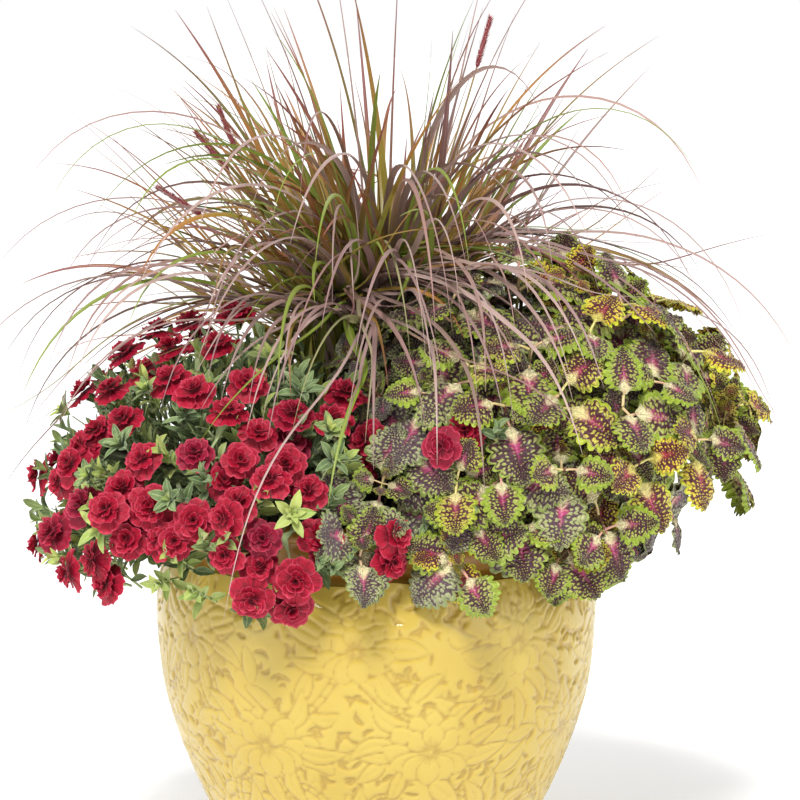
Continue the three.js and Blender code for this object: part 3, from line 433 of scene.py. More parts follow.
def coleus_leaf(shape, leaf, draw, youth, teeth=9, per_tooth=4, columns=5):
    """A scalloped coleus leaf on its petiole. Its rows run along the side veins, from midrib to margin."""
    base, tip, face = leaf["base"], leaf["tip"], leaf["face"]
    along = tip - base + 0.16 * np.linalg.norm(tip - base) * face
    length = np.linalg.norm(along)
    along = unit(along)
    face = unit(face - along * (face @ along))
    side = np.cross(face, along)
    width = leaf["width"]
    rows = FOOT_ROWS + teeth * per_tooth + 1
    u = np.concatenate([
        np.linspace(0, FIRST_TOOTH, FOOT_ROWS, endpoint=False),
        np.linspace(FIRST_TOOTH, 1, teeth * per_tooth + 1),
    ])[:, None]
    v = np.linspace(0, 1, columns)[None, :]
    outline, run = smooth_profile(LEAF_OUTLINE, 80)
    rim_x = np.interp(u, run / run[-1], outline[:, 0])
    rim_y = np.clip(np.interp(u, run / run[-1], outline[:, 1]), 0, None)
    rib_x = smooth(u, -0.35, 1.25) * 1.12 - 0.125
    rib_x = np.clip((rib_x - rib_x[0]) / (rib_x[-1] - rib_x[0]), 0, 1) * 0.98
    count = (u - FIRST_TOOTH) / (1 - FIRST_TOOTH) * teeth
    tooth = np.where(u > FIRST_TOOTH, np.abs(np.sin(math.pi * count)) ** 0.6, 0.55)
    grow = 1 + (0.24 * tooth - 0.15) * (1 - 0.25 * u)
    rim_x = rib_x + (rim_x - rib_x) * grow + 0.035 * tooth * u ** 3
    rim_y = rim_y * grow
    droop, lift = draw(0.06, 0.3), draw(-0.16, 0.14)
    parts = []
    for sign in (-1, 1):
        x = rib_x + (rim_x - rib_x) * v ** 1.15
        y = rim_y * v
        phase, beat = draw(0, FULL_TURN), draw(2.0, 3.2)
        wave = np.sin(u * beat * FULL_TURN + phase) * 0.04 * v ** 2 - 0.035 * tooth * v ** 4
        pucker = 0.018 * np.cos(2 * math.pi * (count + 0.5)) * np.sin(math.pi * v) ** 0.8
        cup = 0.11 * v * (1 - v) + lift * v * v * (1 - 0.4 * u)
        sag = -droop * x * x - 0.05 * y * y * (width / length)
        z = sag + wave + pucker + cup
        world = (
            base + (x * length)[..., None] * along
            + (sign * y * width / 2)[..., None] * side + (z * length)[..., None] * face
        )
        marks = np.stack([sign * v + 0 * u, u + 0 * v, x + 0 * y], -1)
        parts.append((world, marks))
    world = np.concatenate([parts[0][0][:, ::-1], parts[1][0][:, 1:]], axis=1)
    marks = np.concatenate([parts[0][1][:, ::-1], parts[1][1][:, 1:]], axis=1)
    kind = (youth, draw(0, 1), draw(0, 1))
    faces = grid_faces(rows, 2 * columns - 1)[:, ::-1]
    shape.add(world.reshape(-1, 3), faces, marks.reshape(-1, 3), kind, LEAF_BLADE)
    steps = 6 if columns > 4 else 4
    root = leaf["root"]
    petiole = bezier([root, lerp(root, base, 0.5) - face * 0.5, base - along * 2, base + along * 4], steps)
    radii = np.linspace(1.45, 1.05, steps) * min(1.0, width / 38)
    add_tube(shape, petiole, radii, 5, (0, 0.02, 1), kind, LEAF_PETIOLE)


def leaf_between(root, base, along, face, size):
    """A leaf's base, tip, face and width from where it stands and how it faces."""
    along = unit(along)
    face = unit(face - along * (face @ along))
    tip = base + along * LEAF_LENGTH * size - face * 0.16 * LEAF_LENGTH * size
    return {"root": root, "base": base, "tip": tip, "face": face, "width": LEAF_WIDTH * size}


def add_rosette(shape, end, axis, facing, size, draw, youth, pairs=4, plain=False):
    """Crossed pairs of leaves at a shoot's end, each pair smaller and more upright than the one below."""
    first = draw(0, math.pi)
    u, w = across(facing)
    for pair, (share, opening, place, younger) in enumerate(LEAF_PAIRS[:pairs]):
        scale = size * share * draw(0.92, 1.08)
        root = end + axis * place
        for half in range(2):
            turn = first + (pair + 2 * half) * math.pi / 2 + draw(-0.2, 0.2)
            spread = around(u, w, turn)
            along = unit(spread * math.sin(opening) + facing * math.cos(opening) - UP * 0.25)
            face = unit(facing - along * (facing @ along) + 0.15 * draw(-1, 1) * np.cross(facing, along))
            base = root + unit(spread + facing * 0.4) * 15 * scale
            leaf = leaf_between(root, base, along, face, scale)
            young = min(1.0, youth + younger)
            if plain:
                coleus_leaf(shape, leaf, draw, young, teeth=5, per_tooth=2, columns=3)
            elif pair < 2:
                coleus_leaf(shape, leaf, draw, young, teeth=7, per_tooth=4, columns=4 if size > 0.85 else 3)
            else:
                coleus_leaf(shape, leaf, draw, young, teeth=5, per_tooth=3, columns=3)


# ---- Calibrachoa leaves and stalks ----

STEM_MARK, STEM_KIND = (0, 0.3, 0.6), (0.3, 0.5, 0.5)
INNER_LEAVES, SHOOT_LEAVES, SHOOT_LENGTH = 6, 9, 46.0


def narrow_leaf(shape, base, tip, face, width, draw, kind, rows=7, columns=5):
    """A small obovate leaf with a channelled blade and a curling tip."""
    run = tip - base
    length = np.linalg.norm(run)
    along = run / max(length, 1e-6)
    face = unit(face - along * (face @ along))
    side = np.cross(face, along)
    t = np.linspace(0, 1, rows)[:, None]
    s = np.linspace(-1, 1, columns)[None, :]
    half = width / 2 * (0.16 + 0.84 * np.sin(math.pi * t ** 1.35) ** 0.9) * (1 - 0.12 * t)
    half = np.where(t > 0.999, 0.06 * width, half)
    arch = draw(0.06, 0.16) * length * np.sin(math.pi * t) + draw(-0.1, 0.02) * length * t ** 3
    channel = (0.1 + 0.16 * (1 - t)) * width * np.abs(s) ** 1.3
    twist = draw(-0.45, 0.45) * t
    z = arch + channel + twist * s * half
    flat = base + (t * length + 0 * s)[..., None] * along + (s * half)[..., None] * side
    world = flat + z[..., None] * face
    marks = np.stack([s + 0 * t, t + 0 * s, 1 - np.abs(s) + 0 * t], -1)
    shape.add(world.reshape(-1, 3), grid_faces(rows, columns)[:, ::-1], marks.reshape(-1, 3), kind)


def add_tuft(shape, tuft, draw, youth):
    """A tuft's leaves where the solid has them, and a few smaller ones in its middle."""
    hub, axis = tuft["hub"], tuft["axis"]
    for tip in tuft["tips"]:
        kind = (youth + draw(-0.1, 0.1), draw(0, 1), draw(0, 1))
        narrow_leaf(shape, hub, hub + (tip - hub) * draw(0.92, 1.04), axis, draw(8.5, 11), draw, kind)
    u, w = across(axis)
    start = draw(0, FULL_TURN)
    for k in range(INNER_LEAVES):
        turn = start + k * LEAF_TURN
        rise = draw(0.7, 1.6) + 0.25 * k
        out = unit(around(u, w, turn) + axis * rise)
        length = draw(17, 23) * (1 - 0.09 * k)
        kind = (min(1, youth + 0.1 + 0.09 * k), draw(0, 1), draw(0, 1))
        foot = hub + axis * (1 + 0.6 * k)
        narrow_leaf(shape, foot, foot + out * length, unit(axis - out * 0.5), length * 0.36, draw, kind)


def add_shoot(shape, end, axis, draw, youth, leaf_rows=6, leaf_columns=5):
    """A leafy calibrachoa shoot: a thin stem with leaves in a spiral, closer to it towards its tip."""
    u, w = across(axis)
    sway = (u * draw(-1, 1) + w * draw(-1, 1)) * 0.2 * SHOOT_LENGTH
    foot = end - axis * SHOOT_LENGTH + sway - UP * 0.1 * SHOOT_LENGTH
    line = bezier([foot, lerp(foot, end, 0.4), lerp(foot, end, 0.75), end], 6)
    add_tube(shape, line, np.linspace(1.3, 0.8, 6), 5, STEM_MARK, (youth, draw(0, 1), 0.5))
    for k in range(SHOOT_LEAVES):
        share = 0.25 + 0.75 * k / (SHOOT_LEAVES - 1)
        turn = k * LEAF_TURN + draw(-0.3, 0.3)
        place = lerp(foot, end, share)
        out = unit(around(u, w, turn) * (1.15 - 0.75 * share) + axis * (0.2 + share))
        size = draw(18, 26) * (1 - 0.35 * max(0, share - 0.7))
        kind = (min(1, youth + 0.35 * max(0, share - 0.6)), draw(0, 1), draw(0, 1))
        face, width = unit(axis - out * 0.3), size * draw(0.34, 0.42)
        narrow_leaf(shape, place, place + out * size, face, width, draw, kind, leaf_rows, leaf_columns)


class Stems:
    """What is left of a plant's solids without their blooms or leaves, gathered node by node."""

    def __init__(self):
        self.points, self.triangles, self.count = [], [], 0

    def keep(self, net, taken):
        """Adds a node's triangles, but for those of the blooms, leaves or tufts taken out of it."""
        rest = net.without(set().union(*(form["corners"] for form in taken)))
        self.points.append(net.points)
        self.triangles.append(rest + self.count)
        self.count += len(net.points)

    def piece(self, name, material, slot, nodes):
        """The stems as one piece, made round by subdivision."""
        used, index = np.unique(np.concatenate(self.triangles), return_inverse=True)
        mesh = bpy.data.meshes.new(name)
        points = np.concatenate(self.points)[used] * MM
        mesh.from_pydata(points.tolist(), [], index.reshape(-1, 3).tolist())
        rough = bpy.data.objects.new(name, mesh)
        bpy.context.scene.collection.objects.link(rough)
        rough.modifiers.new("round", "SUBSURF").levels = 1
        bpy.context.view_layer.update()
        rounded = rough.evaluated_get(bpy.context.evaluated_depsgraph_get())
        mesh = bpy.data.meshes.new_from_object(rounded)
        bpy.data.objects.remove(rough)
        mesh.name = name
        mesh.polygons.foreach_set("use_smooth", np.ones(len(mesh.polygons), bool))
        for key, value in (("mark", STEM_MARK), ("kind", STEM_KIND)):
            layer = mesh.attributes.new(key, "FLOAT_VECTOR", "POINT")
            layer.data.foreach_set("vector", np.tile(np.array(value, np.float32), len(mesh.vertices)))
        mesh.materials.append(material)
        hang(bpy.data.objects.new(name, mesh), nodes)


# ---- The pot ----

BELLY_COLUMNS, BELLY_ROWS = 730, 212
EDGE_DROP, EDGE_REACH = 0.4, 26
# The ledge's uneven edge, as waves: [times round the pot, where each starts, height].
EDGE_WAVES = [(8, 0.4, 1.0), (13, 2.0, 0.8), (29, 1.0, 0.5), (47, 3.0, 0.4)]
CARVING_SEED = 41
GROOVE, GROOVE_WIDTH, POCKET = 3.0, 1.4, 2.4
GROUND_ROWS, GROUND_LEAVES, POCKETS = 10, 21, 2400
# The flowers, in rows: [height, degrees round, size].
FLOWER_ROWS = [(238.0, -7.4, 0.95), (151.0, 15.1, 1.0), (68.0, -7.4, 0.88)]
FLOWERS_ROUND, LEAVES_A_FLOWER = 8, 7
# The inside: where its wall starts to narrow, where it meets the floor, and the floor's drain holes.
SHOULDER_R, SHOULDER_Z, INNER_FLOOR_R, FLOOR_Z, GLAZE = 181, 292, 110, 16.0, 0.5
DRAIN_RADIUS, DRAIN_CIRCLE, DRAIN_SIDES = 9.0, 62.0, 24

# A flower's petals from back to front: [degrees from upright, length, width, how it curls].
FLOWER_PETALS = [
    (0, 34, 22, 0), (-28, 35, 22, 0.1), (28, 35, 22, -0.1), (-55, 37, 23, 0.15), (55, 37, 23, -0.15),
    (-84, 39, 21, 0.25), (84, 39, 21, -0.25), (-112, 37, 22, 0.15), (112, 37, 22, -0.15), (-142, 33, 23, 0),
    (142, 33, 23, 0), (180, 31, 24, 0), (-42, 25, 19, 0.2), (42, 25, 19, -0.2), (0, 24, 19, 0),
]
# The strokes cut out from a flower's heart: [degrees from upright, where it starts, where it ends].
FLOWER_STROKES = [(d, 4.5, 14 + 6 * math.cos(math.radians(d * 1.5)) ** 2) for d in range(-75, 76, 15)]
FLOWER_STROKES += [(d, 5.5, 17.0) for d in range(112, 250, 17)]


class Carving:
    """The carved layer of the belly, unrolled: its height at each grid point, 0 at the smooth level."""

    def __init__(self):
        self.profile, self.run = smooth_profile(POT_OUTSIDE, BELLY_ROWS)
        self.angle = np.linspace(0, 2 * math.pi, BELLY_COLUMNS, endpoint=False)
        self.height = np.zeros((BELLY_ROWS, BELLY_COLUMNS))
        self.taken = np.zeros((BELLY_ROWS, BELLY_COLUMNS))

    def window(self, place, reach):
        """The grid rows and columns within reach of a place, and their flat coordinates from it."""
        angle, run = place
        radius = max(float(np.interp(run, self.run, self.profile[:, 0])), 40.0)
        rows = np.flatnonzero(np.abs(self.run - run) < reach)
        apart = (self.angle - angle + math.pi) % (2 * math.pi) - math.pi
        columns = np.flatnonzero(np.abs(apart) * radius < reach)
        x = (apart[columns] * radius)[None, :] + 0 * rows[:, None]
        y = (self.run[rows] - run)[:, None] + 0 * columns[None, :]
        return np.ix_(rows, columns), x, y

    def outline(self, place, heading, length, width, start, power, blunt, curl):
        """A pointed form's grid window, how far along and over it each point is, and how deep inside it."""
        where, x, y = self.window(place, abs(start) + length + 3)
        along = x * math.cos(heading) + y * math.sin(heading) - start
        over = -x * math.sin(heading) + y * math.cos(heading)
        share = np.clip(along / length, 0, 1)
        over = over - curl * width * np.sin(math.pi * share)
        half = width / 2 * np.sin(math.pi * share ** power) ** blunt
        to_edge = np.minimum(half - np.abs(over), np.minimum(along, length - along) * 0.9)
        return where, share, over, half, to_edge

    def lay(self, where, form, to_edge):
        """Lays a form over what is there, with a soft edge so that no step is sharper than the grid."""
        cover = smooth(to_edge, -0.9, 0.7)
        self.height[where] = lerp(self.height[where], form, cover)
        self.taken[where] = np.maximum(self.taken[where], smooth(to_edge, -2.2, -0.6))

    def blade(self, place, heading, length, width, lift=0.0, power=0.8, blunt=0.75, midrib=0.0, veins=0,
              start=0.0, curl=0.0):
        """A petal or leaf form whose edge is cut down, with an incised midrib and veins."""
        outline = self.outline(place, heading, length, width, start, power, blunt, curl)
        where, share, over, half, to_edge = outline
        form = lift - GROOVE * np.exp(-(np.clip(to_edge, 0, None) / GROOVE_WIDTH) ** 1.5)
        form += 1.1 * np.clip(1 - (over / (half + 1e-6)) ** 2, 0, 1)
        if midrib:
            cut = midrib * np.exp(-(over / 1.3) ** 2)
            form -= cut * smooth(share, 0.02, 0.2) * (1 - smooth(share, 0.7, 0.95))
        for k in range(veins):
            line = (share - 0.15 - 0.7 * k / veins) * length - np.abs(over) * 0.9
            form -= 1.1 * np.exp(-(line / 1.2) ** 2) * smooth(np.abs(over), 0, 2) * smooth(to_edge, 0.5, 2)
        self.lay(where, form, to_edge)

    def stroke(self, place, heading, start, end, depth, curl=0.0):
        """A short incised line that runs out from a place and fades at its end."""
        where, x, y = self.window(place, end + 4)
        along = x * math.cos(heading) + y * math.sin(heading)
        over = -x * math.sin(heading) + y * math.cos(heading)
        share = np.clip((along - start) / (end - start), 0, 1)
        over = over - curl * 6 * share ** 2
        outside = np.maximum(start - along, along - end).clip(0, None)
        fade = (1 - 0.75 * share ** 2) * np.exp(-(outside / 1.5) ** 2)
        cut = np.exp(-(over / (1.5 - 0.5 * share)) ** 2) * fade
        self.height[where] = np.minimum(self.height[where], 1.2 - (depth + 1.2) * cut)

    def pocket(self, place, heading, length, width, curl):
        """A small soft recess, cut only where no petal, leaf or vine lies."""
        where, _, _, _, to_edge = self.outline(place, heading, length, width, -length / 2, 0.7, 0.8, curl)
        cut = smooth(to_edge, -0.5, 1.6) * (1 - self.taken[where])
        self.height[where] = np.minimum(self.height[where], -POCKET * cut)

    def vine(self, points, width):
        """A raised stem along a curve of (angle, run) points."""
        for (a0, r0), (a1, r1) in zip(points, points[1:]):
            radius = float(np.interp((r0 + r1) / 2, self.run, self.profile[:, 0]))
            dx, dy = (a1 - a0) * radius, r1 - r0
            length = math.hypot(dx, dy)
            where, x, y = self.window(((a0 + a1) / 2, (r0 + r1) / 2), length / 2 + width + 2)
            share = np.clip(((x + dx / 2) * dx + (y + dy / 2) * dy) / length ** 2, 0, 1)
            to_edge = width / 2 - np.hypot(x + dx / 2 - share * dx, y + dy / 2 - share * dy)
            form = 0.4 - GROOVE * np.exp(-(np.clip(to_edge, 0, None) / 1.3) ** 1.5)
            self.lay(where, form, to_edge)

    def flower(self, angle, z, size, draw):
        """A many-petalled flower seen from its side, its petals laid from the back to the front."""
        place = (angle, float(np.interp(z, self.profile[:, 1], self.run)))
        tilt = draw(-14, 14)
        for turn, length, width, curl in FLOWER_PETALS:
            heading = math.radians(90 - turn + tilt + draw(-4, 4))
            long, wide = length * size * draw(0.92, 1.06), width * size * draw(0.95, 1.12)
            self.blade(place, heading, long, wide, 0.2, power=1.2, blunt=0.65, start=2.5, curl=curl)
        for turn, start, end in FLOWER_STROKES:
            heading = math.radians(90 - turn + tilt + draw(-3, 3))
            self.stroke(place, heading, start * size, end * size * draw(0.85, 1.3), 1.6, draw(-0.5, 0.5))

    def soften(self):
        """Rounds the whole layer off a little, as the glaze does."""
        h = np.pad(self.height, ((1, 1), (0, 0)), mode="edge")
        h = 0.18 * h[:-2] + 0.64 * h[1:-1] + 0.18 * h[2:]
        self.height = 0.18 * np.roll(h, 1, 1) + 0.64 * h + 0.18 * np.roll(h, -1, 1)


def carve():
    """Fills the belly with leaves, vines and rows of flowers, and cuts small pockets between them."""
    draw = seeded(CARVING_SEED)
    carving = Carving()
    top = carving.run[-1]
    for row in range(GROUND_ROWS):
        for k in range(GROUND_LEAVES):
            angle = (k + 0.5 * (row % 2) + draw(-0.35, 0.35)) * 2 * math.pi / GROUND_LEAVES
            place = (angle, (row + 0.5 + draw(-0.4, 0.4)) * top / GROUND_ROWS)
            length = draw(28, 46)
            heading, width, midrib = draw(0, 2 * math.pi), draw(13, 20), 2.0 * (draw(0, 1) < 0.6)
            carving.blade(place, heading, length, width, midrib=midrib, start=-length / 2,
                          veins=3 if draw(0, 1) < 0.25 else 0, curl=draw(-0.5, 0.5))
    flowers = []
    for z, offset, size in FLOWER_ROWS:
        for k in range(FLOWERS_ROUND):
            angle = math.radians(offset + 360 / FLOWERS_ROUND * k + draw(-3, 3) - 90)
            flowers.append((angle, z + draw(-5, 5), size * draw(0.92, 1.04)))
    for i, (angle, z, size) in enumerate(flowers):
        run = float(np.interp(z, carving.profile[:, 1], carving.run))
        for sign in (-1, 1):
            t = np.linspace(0, 1, 15)
            sway = 0.1 * np.sin(t * math.pi * 2 + i)
            angles, runs = angle + sign * 0.39 * t + sway * 0.35, run - 88 * t + 9 * np.sin(t * 9 + i)
            carving.vine(list(zip(angles, runs)), 7.0)
        first = draw(0, 1)
        for k in range(LEAVES_A_FLOWER):
            heading = (k + first + draw(-0.25, 0.25)) * 2 * math.pi / LEAVES_A_FLOWER
            radius = float(np.interp(run, carving.run, carving.profile[:, 0]))
            foot = (angle + math.cos(heading) * 29 * size / radius, run + math.sin(heading) * 27 * size)
            carving.blade(foot, heading + draw(-0.9, 0.9), draw(32, 50), draw(15, 22), midrib=2.2,
                          veins=3 * (draw(0, 1) < 0.3), curl=draw(-0.5, 0.5), power=0.75)
    for angle, z, size in flowers:
        carving.flower(angle, z, size, draw)
    for _ in range(POCKETS):
        place = (draw(0, 2 * math.pi), draw(0.01, 0.99) * top)
        carving.pocket(place, draw(0, 2 * math.pi), draw(9, 20), draw(3.6, 6.2), draw(-1.2, 1.2))
    carving.soften()
    return carving


def pot_pieces(glaze):
    """The pot in three pieces: the belly's two carved halves, and the neck, rim, inside and floor."""
    carving = carve()
    radius, z = carving.profile[:, 0], carving.profile[:, 1]
    run, top = carving.run, carving.run[-1]
    slope = np.gradient(carving.profile, axis=0)
    out = unit(np.stack([slope[:, 1], -slope[:, 0]], -1))
    ease = (smooth(run, 0, 6) * (1 - smooth(run, top - 2, top)))[:, None]
    height = carving.height * (0.35 + 0.65 * ease)
    edge_wave = sum(np.sin(carving.angle * n + p) * a for n, p, a in EDGE_WAVES)
    rise = smooth(run, top - EDGE_REACH, top)[:, None] * (edge_wave - EDGE_DROP)[None, :]
    r = radius[:, None] + out[:, :1] * height
    h = z[:, None] + out[:, 1:] * height + rise
    ring = np.stack([r * np.cos(carving.angle), r * np.sin(carving.angle), h], -1)
    marks = np.stack([-height / POCKET, 0 * height, smooth(-height, POCKET * 0.6, POCKET * 0.95)], -1)
    half = BELLY_COLUMNS // 2
    for name, first in (("pot_belly_front", half), ("pot_belly_back", 0)):
        shape = Shape()
        columns = (np.arange(half + 1) + first) % BELLY_COLUMNS
        shape.add(ring[:, columns], grid_faces(BELLY_ROWS, half + 1), marks[:, columns].reshape(-1, 3))
        shape.piece(name, [glaze], "glaze", ["pot"])
    shape = Shape()
    turn = carving.angle[::5]
    wave = edge_wave[::5]
    top_r, top_z = radius[-1], z[-1]
    wall = [
        (top_r - 1, top_z - 1, 1), (top_r - 4, top_z + 1.5, 0.8),
        (NECK_R + 2.5, LEDGE_Z + 0.5, 0.4), (NECK_R, LEDGE_Z + 4, 0.1),
    ]
    rim_centre = RIM_Z - RIM_ROLL
    neck = [(NECK_R - 0.3 * math.sin(k), lerp(306, rim_centre - 7, k / 9), 0) for k in range(10)]
    roll = [
        (NECK_R + RIM_ROLL * 0.9 * math.cos(a), rim_centre + RIM_ROLL * math.sin(a), 0)
        for a in np.linspace(-0.9, math.pi - 0.35, 16)
    ]
    inner_r = NECK_R - WALL
    inside = [(inner_r, lerp(rim_centre - 2, 303, k / 5), 0) for k in range(6)]
    lower = [(r - WALL, z, 0) for r, z in reversed(POT_OUTSIDE[:-1]) if z > FLOOR_Z]
    lower = [(SHOULDER_R, SHOULDER_Z, 0), *lower, (INNER_FLOOR_R, FLOOR_Z + GLAZE, 0)]
    rows = wall + neck + roll + inside + lower
    points, row_marks = [], []
    for r, z, w in rows:
        points += [(r * math.cos(a), r * math.sin(a), z + w * (e - EDGE_DROP)) for a, e in zip(turn, wave)]
        # The second mark is painted shade: full on the neck, rim and upper inside, 0.3 below the ledge's
        # height.
        row_marks += [(0, 1 if z > 300 else 0.3, w)] * len(turn)
    shape.add(points, grid_faces(len(rows), len(turn), closed=True), row_marks)
    add_floor(shape, turn)
    shape.piece("pot_neck_and_inside", [glaze], "glaze", ["pot"])


def add_floor(shape, turn):
    """The floor's two faces with three drain holes in them, and the walls of the holes."""
    # The floor and the holes are marked (0.3, 0.3, 0): a little groove colour and painted shade.
    hole_turn = np.linspace(0, 2 * math.pi, DRAIN_SIDES, endpoint=False)
    thirds = (0, math.pi * 2 / 3, math.pi * 4 / 3)
    centres = [DRAIN_CIRCLE * np.array([math.cos(a), math.sin(a)]) for a in thirds]
    base, floor = (0.0, POT_OUTSIDE[0][0] - 1.0, True), (FLOOR_Z + GLAZE, INNER_FLOOR_R, False)
    for z, outer, flip in (base, floor):
        loops = [[Vector((outer * math.cos(a), outer * math.sin(a), 0)) for a in turn]]
        for centre in centres:
            loops.append([
                Vector((centre[0] + DRAIN_RADIUS * math.cos(a), centre[1] + DRAIN_RADIUS * math.sin(a), 0))
                for a in hole_turn
            ])
        faces = np.array(tessellate_polygon(loops))
        points = np.array([(p[0], p[1], z) for loop in loops for p in loop])
        a, b, c = (points[faces[:, k]] for k in range(3))
        up = np.cross(b - a, c - a)[:, 2] > 0
        faces[up == flip] = faces[up == flip][:, ::-1]
        shape.add(points, faces, (0.3, 0.3, 0))
    for centre in centres:
        wall = [
            (centre[0] + DRAIN_RADIUS * math.cos(a), centre[1] + DRAIN_RADIUS * math.sin(a), z)
            for z in (0.0, FLOOR_Z / 2, FLOOR_Z + GLAZE) for a in hole_turn
        ]
        shape.add(wall, grid_faces(3, DRAIN_SIDES, closed=True)[:, ::-1], (0.3, 0.3, 0))


# ---- Fountain grass ----

BLADE_STEPS = 24
GRASS_SEED, TILLER_SEED, SOLID_BLADE_SEED = 71, 72, 3000


def soil_top(x, y):
    """The height of the rounded soil at a place."""
    return SOIL_Z + SOIL_RISE * (1 - math.hypot(x, y) / (NECK_R - WALL))


def outside_mounds(p, margin):
    """A point moved out of the two mounds of leaves, freely so only away from the crown of the grass."""
    free = float(smooth(math.hypot(p[0] - GRASS_CROWN[0], p[1] - GRASS_CROWN[1]), 45, 95))
    out = p.copy()
    for mound in (CALIBRACHOA, COLEUS, CALIBRACHOA):
        offset = out - mound["centre"]
        share = np.linalg.norm(offset / (mound["radii"] + margin))
        if share < 1:
            out = out + offset * (1 / share - 1) * free
    return out


def blade_line(plan, margin=GRASS_MARGIN):
    """The line of an arching blade, bent over towards its tip and kept out of the mounds."""
    step = plan["length"] / BLADE_STEPS
    line = [np.array(plan["root"], float)]
    for i in range(BLADE_STEPS):
        azimuth = plan["azimuth"] + plan.get("drift", 0.0) * (i + 0.5) / BLADE_STEPS
        angle = plan["lean"] + plan["sweep"] * ((i + 0.5) / BLADE_STEPS) ** plan["bend"]
        line.append(line[-1] + level_way(azimuth) * step * math.sin(angle) + UP * step * math.cos(angle))
    line = np.array(line[:3] + [outside_mounds(p, margin) for p in line[3:]])
    for _ in range(3):
        inner = 0.25 * line[1:-2] + 0.5 * line[2:-1] + 0.25 * line[3:]
        line = np.concatenate([line[:2], inner, line[-1:]])
    return line


def solid_blade_plan(k):
    """Blade k of the solid clump."""
    draw = seeded(SOLID_BLADE_SEED + k)
    share = (k + 0.5) / SOLID_BLADES
    azimuth = k * GOLDEN_ANGLE
    arching = draw(0, 1) < 0.25 + 0.5 * share
    r = 0.9 * GRASS_CROWN_R * math.sqrt(share)
    top = soil_top(*GRASS_CROWN) + GRASS_CROWN_TOP * (1 - 0.6 * share) - 9
    root = (GRASS_CROWN[0] + r * math.cos(azimuth), GRASS_CROWN[1] + r * math.sin(azimuth), top)
    lean = math.radians(4 + 46 * share + draw(-5, 5))
    sweep = math.radians(draw(70, 120) if arching else draw(12, 55))
    length = draw(320, 440) if arching else draw(400, 540) - 110 * share
    return {
        "root": root, "azimuth": azimuth, "lean": lean, "sweep": sweep, "bend": 1.3 if arching else 1.7,
        "length": length, "width": BLADE_WIDTH * draw(0.75, 1.2), "arching": arching,
    }


def add_blade(shape, line, width, kind, roll):
    """A grass blade folded along its midrib, with a narrow foot and a fine tip, twisted by a roll in all."""
    run = line[-1] - line[0]
    side = unit(np.array([-run[1], run[0], 0.0]))
    along = unit(np.gradient(line, axis=0))
    side = unit(side - along * (along @ side)[:, None])
    face = np.cross(side, along)
    t = np.linspace(0, 1, len(line))
    turn = (roll * t)[:, None]
    side, face = side * np.cos(turn) + face * np.sin(turn), face * np.cos(turn) - side * np.sin(turn)
    half = (width / 2 * ((0.62 + 0.38 * smooth(t, 0, 0.25)) * (1 - t ** 1.9) + 0.03))[:, None]
    fold = face * half * 0.3
    points = np.stack([line - side * half + fold, line - fold, line + side * half + fold], 1)
    marks = np.stack(np.broadcast_arrays(np.array([-1.0, 0, 1.0])[None], t[:, None], np.zeros((1, 1))), -1)
    shape.add(points, grid_faces(len(line), 3), marks.reshape(-1, 3), kind)


def in_cad_box(points, allowance=6.0):
    """Whether points lie in the solids' box, widened by an allowance, and above the floor."""
    low, high = (np.array(corner) / MM for corner in cad_box)
    points = np.asarray(points).reshape(-1, 3)
    inside = (points >= low - allowance) & (points <= high + allowance)
    return bool(inside.all() and points[:, 2].min() > 4)


def solid_blade_lines(net):
    """The solid clump's blades again, with their plans.

    Each solid blade is turned from its plan until it clears the leaves. The turn that the net's corners
    match is found again here.
    """
    tree = kdtree.KDTree(len(net.points))
    for i, p in enumerate(net.points):
        tree.insert(p, i)
    tree.balance()
    found = []
    for k in range(SOLID_BLADES):
        plan = solid_blade_plan(k)
        best = (0, None)
        for variant in range(SOLID_BLADE_TRIES):
            swing = SWING_STEP * math.ceil(variant / 2) * (1 if variant % 2 else -1)
            line = blade_line({**plan, "azimuth": plan["azimuth"] + swing})
            knots = [12, 18, BLADE_STEPS] if plan["arching"] else [8, 16, BLADE_STEPS]
            matches = sum(tree.find(line[i])[2] < plan["width"] * 0.62 for i in knots)
            matches += 2 * (tree.find(line[BLADE_STEPS])[2] < 0.2)
            if matches > best[0]:
                best = (matches, line)
        if best[0] >= 3:
            found.append((best[1], plan))
    return found


TILLERS, BLADES_A_TILLER, WISPS, FAN_BLADES = 96, 6, 50, 44
FORWARD_BLADES, DRAPED_BLADES, SHEATHS = 80, 30, 130
FRONT = math.radians(-90)
# The blades that hang over the front. Each pair is the lowest and highest draw of one measure:
# [degrees round, lean in degrees, place in the crown, height, bend, length, width, drift].
FORWARD = [(-165, -15), (6, 42), (0.1, 1), (395, 520), (1.1, 2.0), (300, 490), (4.6, 8.0), (-0.6, 0.6)]
DRAPED = [(-152, -48), (28, 54), (0.2, 1), (400, 450), (1.4, 2.4), (330, 460), (6.0, 9.0), (-0.5, 0.5)]


def crown_place(share, azimuth, z, reach=0.92):
    """A place in the crown of the grass, from its middle at a share of 0 to its edge at 1."""
    r = GRASS_CROWN_R * math.sqrt(share) * reach
    return np.array([GRASS_CROWN[0] + r * math.cos(azimuth), GRASS_CROWN[1] + r * math.sin(azimuth), z])


def lies_flat(line):
    """Whether a blade runs along a mound for much of its length."""
    near = [min(inside_share(COLEUS, p), inside_share(CALIBRACHOA, p)) < 1.16 for p in line[6:]]
    return sum(near) > 7


def facing_front(azimuth):
    """1 for a direction straight to the front, 0 for one to the side or the back."""
    return max(0.0, math.cos(azimuth - FRONT))


